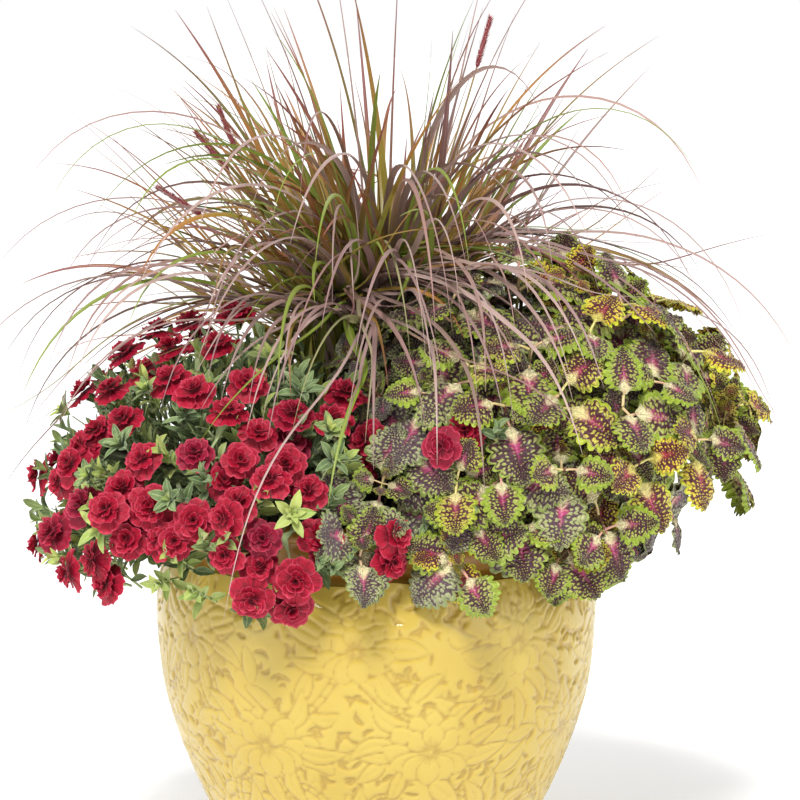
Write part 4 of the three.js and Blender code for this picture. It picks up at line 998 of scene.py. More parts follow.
def tiller_line(k, draw):
    """One shoot of the clump: the line of its rolled sheaths, and its direction."""
    share = (k + 0.5) / TILLERS
    azimuth = k * GOLDEN_ANGLE + draw(-0.3, 0.3)
    lean = math.radians(3 + 40 * share + draw(-5, 5)) * (1 - 0.6 * facing_front(azimuth))
    foot = crown_place(share, azimuth, SOIL_Z - 6)
    length = draw(110, 230) * (1 - 0.3 * share)
    end = foot + (UP * math.cos(lean) + level_way(azimuth) * math.sin(lean)) * length
    return bezier([foot, foot + UP * length * 0.35, lerp(foot, end, 0.7) + UP * 6, end], 9), azimuth, lean


def tiller_blade(line, azimuth, lean, j, draw):
    """One of a tiller's blades, which leaves it to one side or the other and arches over."""
    at = 0.35 + 0.65 * j / (BLADES_A_TILLER - 1)
    root = line[min(8, round(8 * at))]
    side = 1 if j % 2 else -1
    arching = draw(0, 1) < 0.45
    return {
        "root": root, "azimuth": azimuth + side * draw(0.2, 1.3),
        "lean": lean * at + math.radians(draw(2, 20)),
        "sweep": math.radians(draw(55, 125) if arching else draw(10, 50)), "bend": draw(1.1, 2.0),
        "length": draw(200, 370) if arching else draw(190, 350), "width": draw(5.6, 10.4),
        "drift": draw(-1.1, 1.1),
    }


def wisp(draw):
    """A thin, long blade that stands up anywhere in the fan."""
    share, azimuth = draw(0, 1) ** 0.7, draw(0, 2 * math.pi)
    lean = (6 + 48 * share + draw(-6, 6)) * (1 - 0.7 * facing_front(azimuth))
    return {
        "root": crown_place(share, azimuth, SOIL_Z + 30), "azimuth": azimuth, "lean": math.radians(lean),
        "sweep": math.radians(draw(30, 125)), "bend": draw(1.3, 2.4), "length": draw(360, 540) - 80 * share,
        "width": draw(1.8, 3.6), "drift": draw(-0.6, 0.6),
    }


def hanging_blade(ranges, draw):
    """A pale blade that rises from the clump, comes over the mounds and hangs down in front of them."""
    turns, leans, places, heights, bends, lengths, widths, drifts = ranges
    azimuth = math.radians(draw(*turns))
    lean = draw(*leans)
    return {
        "root": crown_place(draw(*places), azimuth, draw(*heights)), "azimuth": azimuth,
        "lean": math.radians(lean), "sweep": math.radians(draw(150, 172) - lean), "bend": draw(*bends),
        "length": draw(*lengths), "width": draw(*widths), "drift": draw(*drifts), "over": True,
    }


def fan_blade(k, draw):
    """A broader blade that stands up to the left or the right."""
    azimuth = draw(-0.9, 0.9) + (math.pi if k % 5 < 2 else 0.0)
    return {
        "root": crown_place(draw(0, 1), azimuth, SOIL_Z + draw(60, 150)), "azimuth": azimuth,
        "lean": math.radians(draw(5, 30)), "sweep": math.radians(draw(4, 42)), "bend": draw(1.2, 2.4),
        "length": draw(270, 400), "width": draw(6.5, 11.0), "drift": draw(-0.5, 0.5),
    }


def fine_blades(draw):
    """Every blade that the clump has besides its solid ones, with how mauve each is."""
    draw_tillers = seeded(TILLER_SEED)
    for k in range(TILLERS):
        line, azimuth, lean = tiller_line(k, draw_tillers)
        sideways = math.cos(azimuth) * lean
        step = 3 if sideways > 0.2 else 2 if sideways < -0.45 else 1
        for j in range(0, BLADES_A_TILLER, step):
            plan = tiller_blade(line, azimuth, lean, j, draw)
            yield plan, draw(0.0, 0.56) + 0.26 * (math.cos(azimuth) > draw(0, 1))
    for _ in range(WISPS):
        yield wisp(draw), draw(0.0, 0.8)
    # The blades that hang over the front and the draped ones are drawn mauve: their own colour with a
    # painted sheen.
    for _ in range(FORWARD_BLADES):
        yield hanging_blade(FORWARD, draw), draw(0.75, 1.0)
    for k in range(FAN_BLADES):
        yield fan_blade(k, draw), draw(0.0, 0.5) + (0.45 if k % 5 > 2 else 0.0)
    for _ in range(DRAPED_BLADES):
        yield hanging_blade(DRAPED, draw), draw(0.8, 1.0)


def add_solid_blades(shape, draw):
    """The solid clump's own blades, smoothed and folded, and slimmer where they face the front."""
    for line, plan in solid_blade_lines(Net("grass_clump")):
        for _ in range(6):
            inner = 0.25 * line[:-2] + 0.5 * line[1:-1] + 0.25 * line[2:]
            line = np.concatenate([line[:1], inner, line[-1:]])
        front = facing_front(plan["azimuth"]) > 0.3
        slim = 0.85 - 0.3 * facing_front(plan["azimuth"])
        # Blades facing the front, and half of the arching ones, are drawn mauve: partly their own colour,
        # partly painted sheen.
        tone = draw(0.7, 1.0) if front or plan["arching"] and draw(0, 1) < 0.5 else draw(0.05, 0.75)
        add_blade(shape, line, plan["width"] * slim, (tone, draw(0, 1), draw(0, 1)), draw(-0.5, 0.5))


def add_fine_blades(shape, draw):
    """The other blades, each shortened until it stays in the solids' box, or left out.

    Most of those that would lie flat along a mound of leaves are left out as well.
    """
    for plan, tone in fine_blades(draw):
        margin = draw(3, 22)
        for _ in range(7):
            line = blade_line(plan, margin)
            if in_cad_box(line):
                break
            plan["length"] *= 0.88
        else:
            continue
        if "over" not in plan and lies_flat(line) and draw(0, 1) < 0.75:
            continue
        add_blade(shape, line, plan["width"], (tone, draw(0, 1), draw(0, 1)), draw(-1.2, 1.2))


def add_crown(shape, draw):
    """The short rolled sheaths at the foot of the clump, and the sheaths of its tillers."""
    for k in range(SHEATHS):
        share = (k + 0.5) / SHEATHS
        azimuth = k * GOLDEN_ANGLE
        foot = crown_place(share, azimuth, SOIL_Z - 6, 0.97)
        lean = math.radians(3 + 30 * share + draw(-4, 4))
        out = level_way(azimuth)
        length = draw(70, 125)
        middle = foot + (UP * 0.75 + out * math.sin(lean) * 0.5) * length
        end = foot + (UP * math.cos(lean) + out * math.sin(lean)) * length
        line = bezier([foot, foot + UP * length * 0.4, middle, end], 6)
        kind = (draw(0, 0.3), draw(0, 1), draw(0, 1))
        add_tube(shape, line, np.linspace(2.6, 1.2, 6), 6, (0, 0.02, 0), kind)
    draw_tillers = seeded(TILLER_SEED)
    for k in range(TILLERS):
        line, _, _ = tiller_line(k, draw_tillers)
        kind = (draw(0, 0.4), draw(0, 1), draw(0, 1))
        add_tube(shape, line, np.linspace(2.6, 1.3, 9), 6, (0, 0.1, 0), kind)


def grass_pieces(blade_look, plume_look):
    """The clump in three pieces, and a bristly piece for each plume, whose culm stands in the clump."""
    draw = seeded(GRASS_SEED)
    broad, fine, crown = Shape(), Shape(), Shape()
    add_solid_blades(broad, draw)
    add_fine_blades(fine, draw)
    add_crown(crown, draw)
    for name in nodes_named("grass_plume"):
        points = Net(name).points
        centre = points.mean(axis=0)
        axis = unit(np.linalg.svd(points - centre)[2][0])
        axis = axis if axis[2] > 0 else -axis
        low, high = points[np.argmin(points @ axis)], points[np.argmax(points @ axis)]
        out = np.array([low[0] - GRASS_CROWN[0], low[1] - GRASS_CROWN[1], 0.0])
        root = np.array([*GRASS_CROWN, SOIL_Z + 36]) + unit(out) * 0.3 * GRASS_CROWN_R
        line = bezier([root, root + UP * 170, low - axis * 110, low + axis * 2], 22)
        kind = (0.55, draw(0, 1), draw(0, 1))
        add_tube(crown, line, np.linspace(1.5, 0.9, 22), 6, (0, 0.5, 0), kind)
        plume = Shape()
        add_plume(plume, low, high, draw)
        plume.piece(name + "_bristles", [plume_look], "grass_plume", [name])
    for name, shape in (("broad_blades", broad), ("fine_blades", fine), ("crown_and_culms", crown)):
        shape.piece("grass_" + name, [blade_look], "grass_blade", ["grass_clump"])


BRISTLES = 330
# A bristle's ribbon of two faces, and the marks of its six points, from its foot to its tip.
RIBBON_FACES = [[0, 1, 3, 2], [2, 3, 5, 4]]
RIBBON_MARKS = [(0, 0, 0)] * 2 + [(0, 0.5, 0)] * 2 + [(0, 1, 0)] * 2


def add_plume(shape, low, high, draw):
    """A young bristly spike: a tapering spindle of spikelets, each with a few long bristles."""
    axis = unit(high - low)
    u, w = across(axis)
    length = np.linalg.norm(high - low)
    t = np.linspace(0, 1, 18)
    radii = 0.5 + 1.5 * np.sin(math.pi * t ** 0.75) ** 0.7
    add_tube(shape, low + axis * (t * length * 0.97)[:, None], radii, 8, (0, 0.3, 0), (0.2, 0.5, 0.5))
    for k in range(BRISTLES):
        share = (k + 0.5) / BRISTLES
        out = around(u, w, k * GOLDEN_ANGLE)
        foot = low + axis * share * length * 0.93 + out
        reach = draw(5, 9) * (1 - 0.3 * share)
        tip = foot + (axis * draw(1.2, 1.9) + out * draw(0.45, 0.9)) * reach * 0.55
        tip = foot + (tip - foot) * min(1.0, 0.9 + 0.1 * share)
        wide = 0.32 if k % 3 else 0.9
        side = unit(np.cross(axis, out)) * wide
        middle = lerp(foot, tip, 0.45) + out * 0.4
        ribbon = [foot - side, foot + side, middle - side * 0.7, middle + side * 0.7]
        ribbon += [tip - side * 0.1, tip + side * 0.1]
        shape.add(ribbon, RIBBON_FACES, RIBBON_MARKS, (draw(0, 1), draw(0, 1), draw(0, 1)))


# ---- Materials ----

NOISE_ROUGHNESS = 0.55


class Look:
    """A procedural material: short calls that take numbers, colours or the outputs of other calls."""

    def __init__(self, name, **settings):
        self.material = bpy.data.materials.new(name)
        self.material.use_nodes = True
        self.tree = self.material.node_tree
        self.shader = self.tree.nodes["Principled BSDF"]
        self.use(**settings)

    def use(self, **settings):
        """Sets the shader's own sockets, named with underscores for spaces."""
        for key, value in settings.items():
            self.feed(self.shader.inputs[key.replace("_", " ")], value)

    def feed(self, socket, value):
        if isinstance(value, bpy.types.NodeSocket):
            self.tree.links.new(value, socket)
        else:
            socket.default_value = value

    def node(self, kind, inputs=(), **settings):
        """The outputs of a new node, whose inputs are given by name or by number."""
        made = self.tree.nodes.new("ShaderNode" + kind)
        for key, value in settings.items():
            setattr(made, key, value)
        for key, value in dict(inputs).items():
            self.feed(made.inputs[key], value)
        return made.outputs

    def marks(self, name):
        """The three numbers of a piece's mark or kind."""
        return self.parts(self.node("Attribute", attribute_name=name)["Vector"])

    def parts(self, vector):
        return tuple(self.node("SeparateXYZ", [(0, vector)]))

    def vector(self, *values):
        return self.node("CombineXYZ", enumerate(values))[0]

    def vector_math(self, operation, *values):
        return self.node("VectorMath", enumerate(values), operation=operation)[0]

    def math(self, operation, *values):
        return self.node("Math", enumerate(values), operation=operation)[0]

    def plus(self, a, b):
        return self.math("ADD", a, b)

    def times(self, a, b):
        return self.math("MULTIPLY", a, b)

    def scaled(self, value, factor, offset):
        """A value times a factor, plus an offset."""
        return self.math("MULTIPLY_ADD", value, factor, offset)

    def between(self, *values):
        """A value's smooth step from low to high, as a number from 0 to 1 or from a start to an end."""
        return self.node("MapRange", enumerate(values), interpolation_type="SMOOTHSTEP")[0]

    def mix(self, factor, a, b):
        """A colour between two others."""
        return self.node("Mix", ((0, factor), (6, a), (7, b)), data_type="RGBA")[2]

    def noise(self, vector, scale, detail=3.0):
        inputs = {"Vector": vector, "Scale": scale, "Detail": detail, "Roughness": NOISE_ROUGHNESS}
        return self.node("TexNoise", inputs)[0]

    def place(self):
        """Where a point lies in its object."""
        return self.node("TexCoord")["Object"]

    def bump(self, height, strength, distance):
        inputs = {"Height": height, "Strength": strength, "Distance": distance}
        self.use(Normal=self.node("Bump", inputs)[0])


def glaze_look():
    """A yellow glaze, thinner on the raised parts and darker where it gathers in the pockets, with painted
    shade in a darker amber on the neck, rim and inside.
    """
    look = Look("yellow_glaze", Coat_Weight=0.4, Coat_Roughness=0.15, Specular_IOR_Level=0.35)
    depth, neck, pocket = look.marks("mark")
    place = look.place()
    soft = look.noise(place, 9.0, 3.0)
    fine = look.noise(place, 160.0, 4.0)
    body = look.mix(look.between(soft, 0.3, 0.7), srgb(184, 157, 64), srgb(194, 169, 77))
    groove = look.times(look.between(depth, 0.05, 0.8), look.scaled(pocket, -0.34, 0.62))
    body = look.mix(groove, body, srgb(146, 110, 38))
    stain = look.times(pocket, look.between(fine, 0.48, 0.62, 0.0, 0.2))
    body = look.mix(stain, body, srgb(150, 118, 56))
    # Painted shade: the neck, rim and inside are painted a darker amber, as if in the shade of the leaves.
    neck_painted_shade = look.mix(look.between(soft, 0.3, 0.7), srgb(166, 114, 38), srgb(188, 138, 54))
    body = look.mix(neck, body, neck_painted_shade)
    look.use(Base_Color=body, Roughness=look.between(fine, 0.2, 0.8, 0.26, 0.38))
    look.bump(look.noise(place, 55.0, 3.0), 0.12, 0.002)
    return look.material


def soil_look():
    """Dark crumbly soil with pale specks."""
    look = Look("potting_soil", Roughness=0.95)
    place = look.place()
    coarse, fine = look.noise(place, 60.0, 6.0), look.noise(place, 320.0, 4.0)
    colour = look.mix(look.between(coarse, 0.35, 0.65), srgb(38, 26, 20), srgb(74, 54, 40))
    look.use(Base_Color=look.mix(look.between(fine, 0.62, 0.72), colour, srgb(126, 100, 74)))
    look.bump(look.plus(coarse, fine), 0.8, 0.004)
    return look.material


def coleus_look():
    """Lime margin, a dark net over small pale cells, a magenta rib and a cream wedge at the base."""
    look = Look("coleus_leaf", Roughness=0.44, Specular_IOR_Level=0.5, Sheen_Weight=0.15,
                Sheen_Roughness=0.4)
    across_leaf, along_leaf, _ = look.marks("mark")
    youth, chance, chance_2 = look.marks("kind")
    v = look.math("ABSOLUTE", across_leaf)
    shift = look.times(chance, 40.0)
    side = look.times(look.math("SIGN", across_leaf), 7.0)
    plane = look.vector(look.scaled(v, 4.8, look.plus(shift, side)),
                        look.scaled(along_leaf, 19.0, chance_2), shift)
    wobble = look.node("TexNoise", {"Vector": plane, "Scale": 0.9})
    wave = wobble[0]
    bent = look.vector_math("SUBTRACT", wobble["Color"], (0.5, 0.5, 0.5))
    bent = look.vector_math("MULTIPLY_ADD", bent, (0.5, 0.5, 0.0), plane)
    inputs = {"Vector": bent, "Scale": 1.0, "Randomness": 0.6}
    cells = look.node("TexVoronoi", inputs, voronoi_dimensions="2D")
    distance = cells["Distance"]
    size = look.between(v, 0.05, 0.9, 0.22, 0.46)
    size = look.plus(size, look.scaled(chance_2, 0.16, -0.09))
    pale = look.between(look.math("SUBTRACT", distance, size), -0.13, 0.08, 1.0, 0.0)
    ragged = look.scaled(wave, 0.3, look.scaled(chance, -0.05, -0.14))
    from_half = look.math("ABSOLUTE", look.math("SUBTRACT", youth, 0.55))
    half_grown = look.between(from_half, 0.12, 0.3, 0.21, 0.0)
    broad_margin = look.times(half_grown, look.between(chance_2, 0.5, 0.68))
    margin = look.between(look.plus(look.plus(v, ragged), broad_margin), 0.83, 0.91)
    old, young = look.between(youth, 0.0, 0.5), look.between(youth, 0.6, 1.0)
    # The old leaves' dark net is greyed and lightened: partly their duller colour with age, partly a painted
    # sheen.
    dark = look.mix(young, look.mix(old, srgb(82, 60, 66), srgb(64, 22, 32)), srgb(84, 18, 20))
    cell = look.mix(young, look.mix(old, srgb(162, 164, 122), srgb(168, 170, 84)), srgb(232, 198, 54))
    edge = look.mix(young, look.mix(old, srgb(138, 148, 92), srgb(146, 166, 44)), srgb(196, 198, 38))
    tint, _, _ = look.parts(cells["Color"])
    cell = look.mix(look.times(tint, 0.4), cell, edge)
    body = look.mix(pale, dark, cell)
    near_rib = look.scaled(v, 0.9, look.times(along_leaf, 0.95))
    near_rib = look.plus(near_rib, look.scaled(wave, 0.6, -0.3))
    near_rib = look.between(near_rib, 0.3, 0.7, 1.0, 0.0)
    magenta = look.mix(young, look.mix(chance, srgb(168, 44, 90), srgb(200, 56, 118)), srgb(164, 18, 48))
    body = look.mix(look.times(near_rib, 0.88), body, magenta)
    rib = look.between(v, 0.015, 0.06, 1.0, 0.0)
    rib = look.times(rib, look.between(along_leaf, 0.25, 0.65, 0.9, 0.0))
    body = look.mix(rib, body, look.mix(young, srgb(196, 104, 140), srgb(186, 44, 74)))
    body = look.mix(margin, body, edge)
    wedge = look.scaled(v, 0.26, look.scaled(wave, 0.14, along_leaf))
    wedge = look.between(wedge, 0.33, 0.5, 1.0, 0.0)
    body = look.mix(look.times(wedge, 0.95), body, look.mix(young, srgb(242, 232, 178), srgb(236, 220, 96)))
    look.use(Base_Color=body)
    look.bump(look.plus(look.times(distance, -1.4), look.times(rib, -0.6)), 0.9, 0.002)
    return look.material


def petiole_look():
    """Pale pink-brown petioles, yellow-green when young."""
    look = Look("coleus_petiole", Roughness=0.5)
    place = look.place()
    youth, _, _ = look.marks("kind")
    tone = look.between(look.noise(place, 45.0, 2.0), 0.35, 0.65)
    pink = look.mix(tone, srgb(222, 190, 150), srgb(206, 140, 134))
    look.use(Base_Color=look.mix(look.between(youth, 0.4, 0.9), pink, srgb(214, 206, 120)))
    look.bump(look.noise(place, 300.0, 2.0), 0.2, 0.0005)
    return look.material


def coleus_stem_look():
    """Stems mottled olive and reddish brown."""
    look = Look("coleus_stem", Roughness=0.55)
    place = look.place()
    tone = look.between(look.noise(place, 30.0, 3.0), 0.35, 0.65)
    look.use(Base_Color=look.mix(tone, srgb(122, 124, 62), srgb(122, 74, 66)))
    look.bump(look.noise(place, 260.0, 2.0), 0.3, 0.0006)
    return look.material


def green_look():
    """Small downy leaves: grey-green with a paler rib and rim, yellow-green when young."""
    look = Look("calibrachoa_green", Roughness=0.55, Specular_IOR_Level=0.3, Sheen_Weight=0.25,
                Sheen_Roughness=0.5)
    across_leaf, along_leaf, _ = look.marks("mark")
    youth, chance, _ = look.marks("kind")
    v = look.math("ABSOLUTE", across_leaf)
    place = look.place()
    old = look.mix(chance, srgb(70, 94, 52), srgb(112, 132, 82))
    young = look.mix(chance, srgb(142, 164, 66), srgb(184, 190, 96))
    body = look.mix(look.between(youth, 0.35, 0.95), old, young)
    down = look.between(look.noise(place, 120.0, 3.0), 0.3, 0.8, 0.0, 0.3)
    body = look.mix(down, body, srgb(166, 184, 130))
    rib = look.between(v, 0.02, 0.14, 0.5, 0.0)
    rim = look.between(v, 0.76, 0.98, 0.0, 0.5)
    body = look.mix(look.math("MAXIMUM", rib, rim), body, srgb(190, 204, 144))
    body = look.mix(look.between(along_leaf, 0.0, 0.3, 0.35, 0.0), body, srgb(170, 190, 110))
    look.use(Base_Color=body)
    look.bump(look.plus(look.noise(place, 900.0, 2.0), look.times(rib, -1.0)), 0.25, 0.0005)
    return look.material


def petal_look():
    """Deep crimson velvet: darker at the foot, the throat's own darker red with painted shade between the
    whorls, and lighter pink-red at the ruffled edge as a painted highlight.
    """
    look = Look("crimson_petal", Roughness=0.55, Specular_IOR_Level=0.3, Sheen_Weight=0.35,
                Sheen_Roughness=0.35, Sheen_Tint=srgb(255, 120, 130))
    across_leaf, along_leaf, chance_2 = look.marks("mark")
    age, whorl, _ = look.marks("kind")
    streaks = look.vector(look.times(across_leaf, 9.0), look.times(along_leaf, 1.6), chance_2)
    streak = look.noise(streaks, 1.6, 3.0)
    red = look.mix(look.between(streak, 0.36, 0.64), srgb(128, 0, 28), srgb(184, 10, 50))
    red = look.mix(look.between(age, 0.7, 1.0), red, srgb(132, 2, 42))
    # Darker towards each petal's foot: the throat's own colour, with painted shade where the whorls overlap.
    red = look.mix(look.between(along_leaf, 0.12, 0.74, 0.88, 0.0), red, srgb(74, 0, 18))
    # Painted highlight: the ruffled edges, more on the inner whorls, are painted a lighter pink-red.
    edge = look.between(look.math("MAXIMUM", along_leaf, look.math("ABSOLUTE", across_leaf)), 0.84, 1.0)
    edge = look.times(edge, look.scaled(whorl, 0.4, 0.34))
    look.use(Base_Color=look.mix(edge, red, srgb(228, 84, 112)))
    look.bump(streak, 0.5, 0.0008)
    return look.material


def blade_look():
    """Olive at the foot, then orange-brown and burgundy; some blades are greyed mauve all along, their own
    mauve with a painted sheen.
    """
    look = Look("grass_blade", Roughness=0.42, Specular_IOR_Level=0.4)
    across_leaf, along_leaf, _ = look.marks("mark")
    tone, chance, chance_2 = look.marks("kind")
    place = look.place()
    foot = look.mix(chance, srgb(116, 128, 40), srgb(164, 152, 54))
    middle = look.mix(chance_2, srgb(172, 116, 46), srgb(118, 112, 44))
    end = look.mix(chance, srgb(136, 62, 50), srgb(110, 50, 58))
    along = look.plus(along_leaf, look.scaled(tone, 0.6, -0.18))
    body = look.mix(look.between(along, 0.25, 0.65), foot, middle)
    body = look.mix(look.between(along, 0.6, 1.0), body, end)
    # Greyed mauve: the blades' own mauve undersides with a painted sheen, mostly on the blades that face or
    # hang to the front.
    mauve = look.mix(chance, srgb(178, 152, 146), srgb(126, 94, 98))
    body = look.mix(look.between(tone, 0.62, 0.9), body, mauve)
    body = look.mix(look.between(chance_2, 0.87, 0.91), body, srgb(116, 138, 42))
    streak = look.noise(look.vector(look.times(across_leaf, 4.0), look.times(along_leaf, 3.0), chance), 2.0)
    body = look.mix(look.between(streak, 0.4, 0.75, 0.0, 0.3), body, srgb(176, 148, 110))
    rib = look.between(look.math("ABSOLUTE", across_leaf), 0.0, 0.25, 0.3, 0.0)
    look.use(Base_Color=look.mix(rib, body, srgb(190, 166, 136)))
    look.bump(look.noise(place, 700.0, 2.0), 0.2, 0.0004)
    return look.material


def plume_look():
    """Dark red bristles with paler tips."""
    look = Look("grass_plume", Roughness=0.7)
    _, along_leaf, _ = look.marks("mark")
    _, chance, _ = look.marks("kind")
    body = look.mix(chance, srgb(118, 20, 42), srgb(150, 44, 62))
    look.use(Base_Color=look.mix(look.between(along_leaf, 0.3, 1.0, 0.0, 0.7), body, srgb(206, 150, 140)))
    look.bump(look.noise(look.place(), 400.0, 2.0), 0.3, 0.0005)
    return look.material


def floor_look():
    """A nearly white floor that glows faintly."""
    look = Look("pale_floor", Roughness=0.85, Emission_Color=(1, 1, 1, 1), Emission_Strength=0.22)
    place = look.place()
    look.use(Base_Color=look.mix(look.noise(place, 2.0, 2.0), srgb(255, 255, 255), srgb(251, 251, 251)))
    return look.material


# ---- Building the planter ----

# The 800-wide front view: the millimetres that a pixel is, and the pixel that shows the ledge's middle.
MM_A_PIXEL, LEDGE_ACROSS, LEDGE_DOWN = 0.92, 376, 546
# How near the surface of a mound a point counts as on it, as a share of the mound's size.
NEAR = 0.02


def seen_at(px, py, y):
    """The point that stands at a place of the front view, at a given depth from the pot's axis."""
    right, up = (px - LEDGE_ACROSS) * MM_A_PIXEL, (LEDGE_DOWN - py) * MM_A_PIXEL
    z = LEDGE_Z + (up - y * math.sin(EYE_ABOVE)) / math.cos(EYE_ABOVE)
    return np.array([right * (1 + y / EYE_DISTANCE), y, z])


def on_mound(mound, direction, depth):
    """The point in a direction from a mound's centre, at a share of its surface, and how it faces there."""
    direction = unit(np.asarray(direction, float))
    reach = 1 / np.linalg.norm(direction / mound["radii"])
    offset = direction * reach
    return mound["centre"] + offset * depth, unit(offset / mound["radii"] ** 2)


def spiral_place(mound, k, draw, heights, depths):
    """Step k of a spiral round a mound, at a drawn height and depth, and how it faces there."""
    z = draw(*heights)
    turn = k * GOLDEN_ANGLE
    level = math.sqrt(1 - z * z)
    return on_mound(mound, (math.cos(turn) * level, math.sin(turn) * level, z), draw(*depths))


def inside_share(mound, p):
    """How far out a point lies in a mound, from 0 at its centre to 1 at its surface."""
    return np.linalg.norm((p - mound["centre"]) / mound["radii"])


def on_front(mound, px, py):
    """The foremost point of a mound's surface at a place of the front view, and how it faces there."""
    spots = [seen_at(px, py, y) for y in np.arange(-360.0, 300.0, 4.0)]
    point = min(spots, key=lambda p: (abs(inside_share(mound, p) - 1.0) > NEAR, p[1]))
    if abs(inside_share(mound, point) - 1.0) > NEAR:
        point = min(spots, key=lambda p: inside_share(mound, p))
    return point, unit((point - mound["centre"]) / mound["radii"] ** 2)


def by_the_neck(point, radius, height):
    """Whether a point is in the pot's neck or close to it, where leaves would cut into the glaze."""
    return math.hypot(point[0], point[1]) < radius and point[2] < height


def from_crown(point):
    """How far a point is from the upright through the grass's crown."""
    return math.hypot(point[0] - GRASS_CROWN[0], point[1] - GRASS_CROWN[1])


def depth_place(mound, other, k, draw):
    """A place in the depth of a mound for a shoot that closes its gaps, or none where it would show."""
    point, facing = spiral_place(mound, k, draw, (-0.7, 0.95), (0.45, 0.8))
    low = point[2] < 300 or by_the_neck(point, 222, 352)
    if low or from_crown(point) < 56 or inside_share(other, point) < 0.7:
        return None, None
    return point, unit(facing + UP * 0.3)


# Blooms that close gaps at the front, and the leafy shoots that show most between the blooms there:
# [across and down the front view, size or youth].
FRONT_BLOOMS = [
    (194, 523, 1.0), (176, 541, 0.95), (330, 546, 0.95), (84, 452, 0.95), (150, 508, 1.0), (236, 318, 0.9),
]
FRONT_SHOOTS = [
    (147, 388, 0.9), (102, 474, 0.95), (98, 510, 0.9), (58, 556, 0.9), (200, 362, 0.7), (205, 478, 0.3),
    (182, 500, 0.2), (242, 368, 0.2), (263, 504, 0.8), (226, 540, 0.6), (334, 500, 0.4), (345, 468, 0.8),
    (300, 390, 0.3), (262, 350, 0.2), (206, 540, 0.5), (170, 552, 0.8), (318, 560, 0.3), (346, 552, 0.2),
    (500, 438, 0.2), (426, 526, 0.2), (414, 550, 0.3), (474, 512, 0.1), (330, 566, 0.2),
]
BLOOM_SEED, SPRAY_SEED, COLEUS_SEED = 11, 13, 17
# The last solid of each piece of blooms but the fourth.
LAST_OF_PIECE = (3, 6, 12)
# How many shoots are tried and how many kept at most near the surface, and how many tried in the depth.
SHOOT_TRIES, SHOOTS, DEPTH_SHOOTS = 400, 150, 420
ROSETTE_TRIES, ROSETTES, DEPTH_ROSETTES = 160, 60, 155
# The last place across the front view that is the calibrachoa's and not the coleus's.
CALIBRACHOA_END = 380


def add_front_blooms(shape, draw):
    """The blooms that close gaps at the front, each on a stalk that comes out of the mound."""
    for px, py, size in FRONT_BLOOMS:
        point, facing = on_front(CALIBRACHOA, px, py)
        axis = unit(facing + np.array([draw(-0.25, 0.25), -0.3, draw(-0.1, 0.3)]))
        add_bloom(shape, {"centre": point, "axis": axis, "size": size, "spoke": across(axis)[0]}, draw)
        back, foot = point - axis * 12, point - axis * 54 - UP * 16
        line = bezier([foot, lerp(foot, back, 0.3) + UP * 3, back - axis * 12, back], 6)
        add_tube(shape, line, np.full(6, 1.0), 5, STEM_MARK, (0.3, draw(0, 1), 0.5), CALYX_GREEN)


def bloom_pieces(petals, greens):
    """The blooms in four pieces, each in the place of its solids, and the stalks that carry them."""
    draw = seeded(BLOOM_SEED)
    nodes = nodes_named("calibrachoa_blooms")
    stalks, batch, names, number = Stems(), Shape(), [], 1
    for k, node in enumerate(nodes):
        net = Net(node)
        found = find_blooms(net)
        for bloom in found:
            add_bloom(batch, bloom, draw)
        stalks.keep(net, found)
        names.append(node)
        last = k == len(nodes) - 1
        if last:
            add_front_blooms(batch, draw)
        if last or k in LAST_OF_PIECE:
            batch.piece(f"calibrachoa_double_blooms_{number}", [greens, petals], "bloom_red", names)
            batch, names, number = Shape(), [], number + 1
    stalks.piece("calibrachoa_flower_stalks", greens, "calibrachoa_green", nodes)


def spray_pieces(greens):
    """The tufts where the solids have them, more leafy shoots all round the mound, and the stems."""
    draw = seeded(SPRAY_SEED)
    nodes = nodes_named("calibrachoa_spray")
    stems, shape = Stems(), Shape()
    for node in nodes:
        net = Net(node)
        tufts = find_tufts(net)
        for tuft in tufts:
            add_tuft(shape, tuft, draw, draw(0.0, 0.9) ** 1.4)
        stems.keep(net, tufts)
    shape.piece("calibrachoa_leaf_tufts", [greens], "calibrachoa_green", nodes)
    fill = Shape()
    kept = 0
    for k in range(SHOOT_TRIES):
        point, facing = spiral_place(CALIBRACHOA, k, draw, (-0.62, 0.95), (0.82, 0.97))
        if inside_share(COLEUS, point) < 0.9 or by_the_neck(point, 226, 372):
            continue
        if point[2] < 282 or not in_cad_box(point + facing * 14, 0.0) or kept >= SHOOTS:
            continue
        kept += 1
        axis = unit(facing + UP * draw(0.0, 0.5) + np.array([draw(-0.3, 0.3), draw(-0.3, 0.3), 0]))
        add_shoot(fill, point, axis, draw, draw(0.0, 0.95) ** 1.3)
    for px, py, youth in FRONT_SHOOTS:
        point, facing = on_front(CALIBRACHOA if px < CALIBRACHOA_END else COLEUS, px, py)
        add_shoot(fill, point, unit(facing + UP * 0.2), draw, youth)
    for k in range(DEPTH_SHOOTS):
        point, axis = depth_place(CALIBRACHOA, COLEUS, k, draw)
        if point is not None:
            add_shoot(fill, point, axis, draw, draw(0.0, 0.4), leaf_rows=4, leaf_columns=3)
    fill.piece("calibrachoa_leafy_shoots", [greens], "calibrachoa_green", nodes)
    stems.piece("calibrachoa_stems", greens, "calibrachoa_green", nodes)


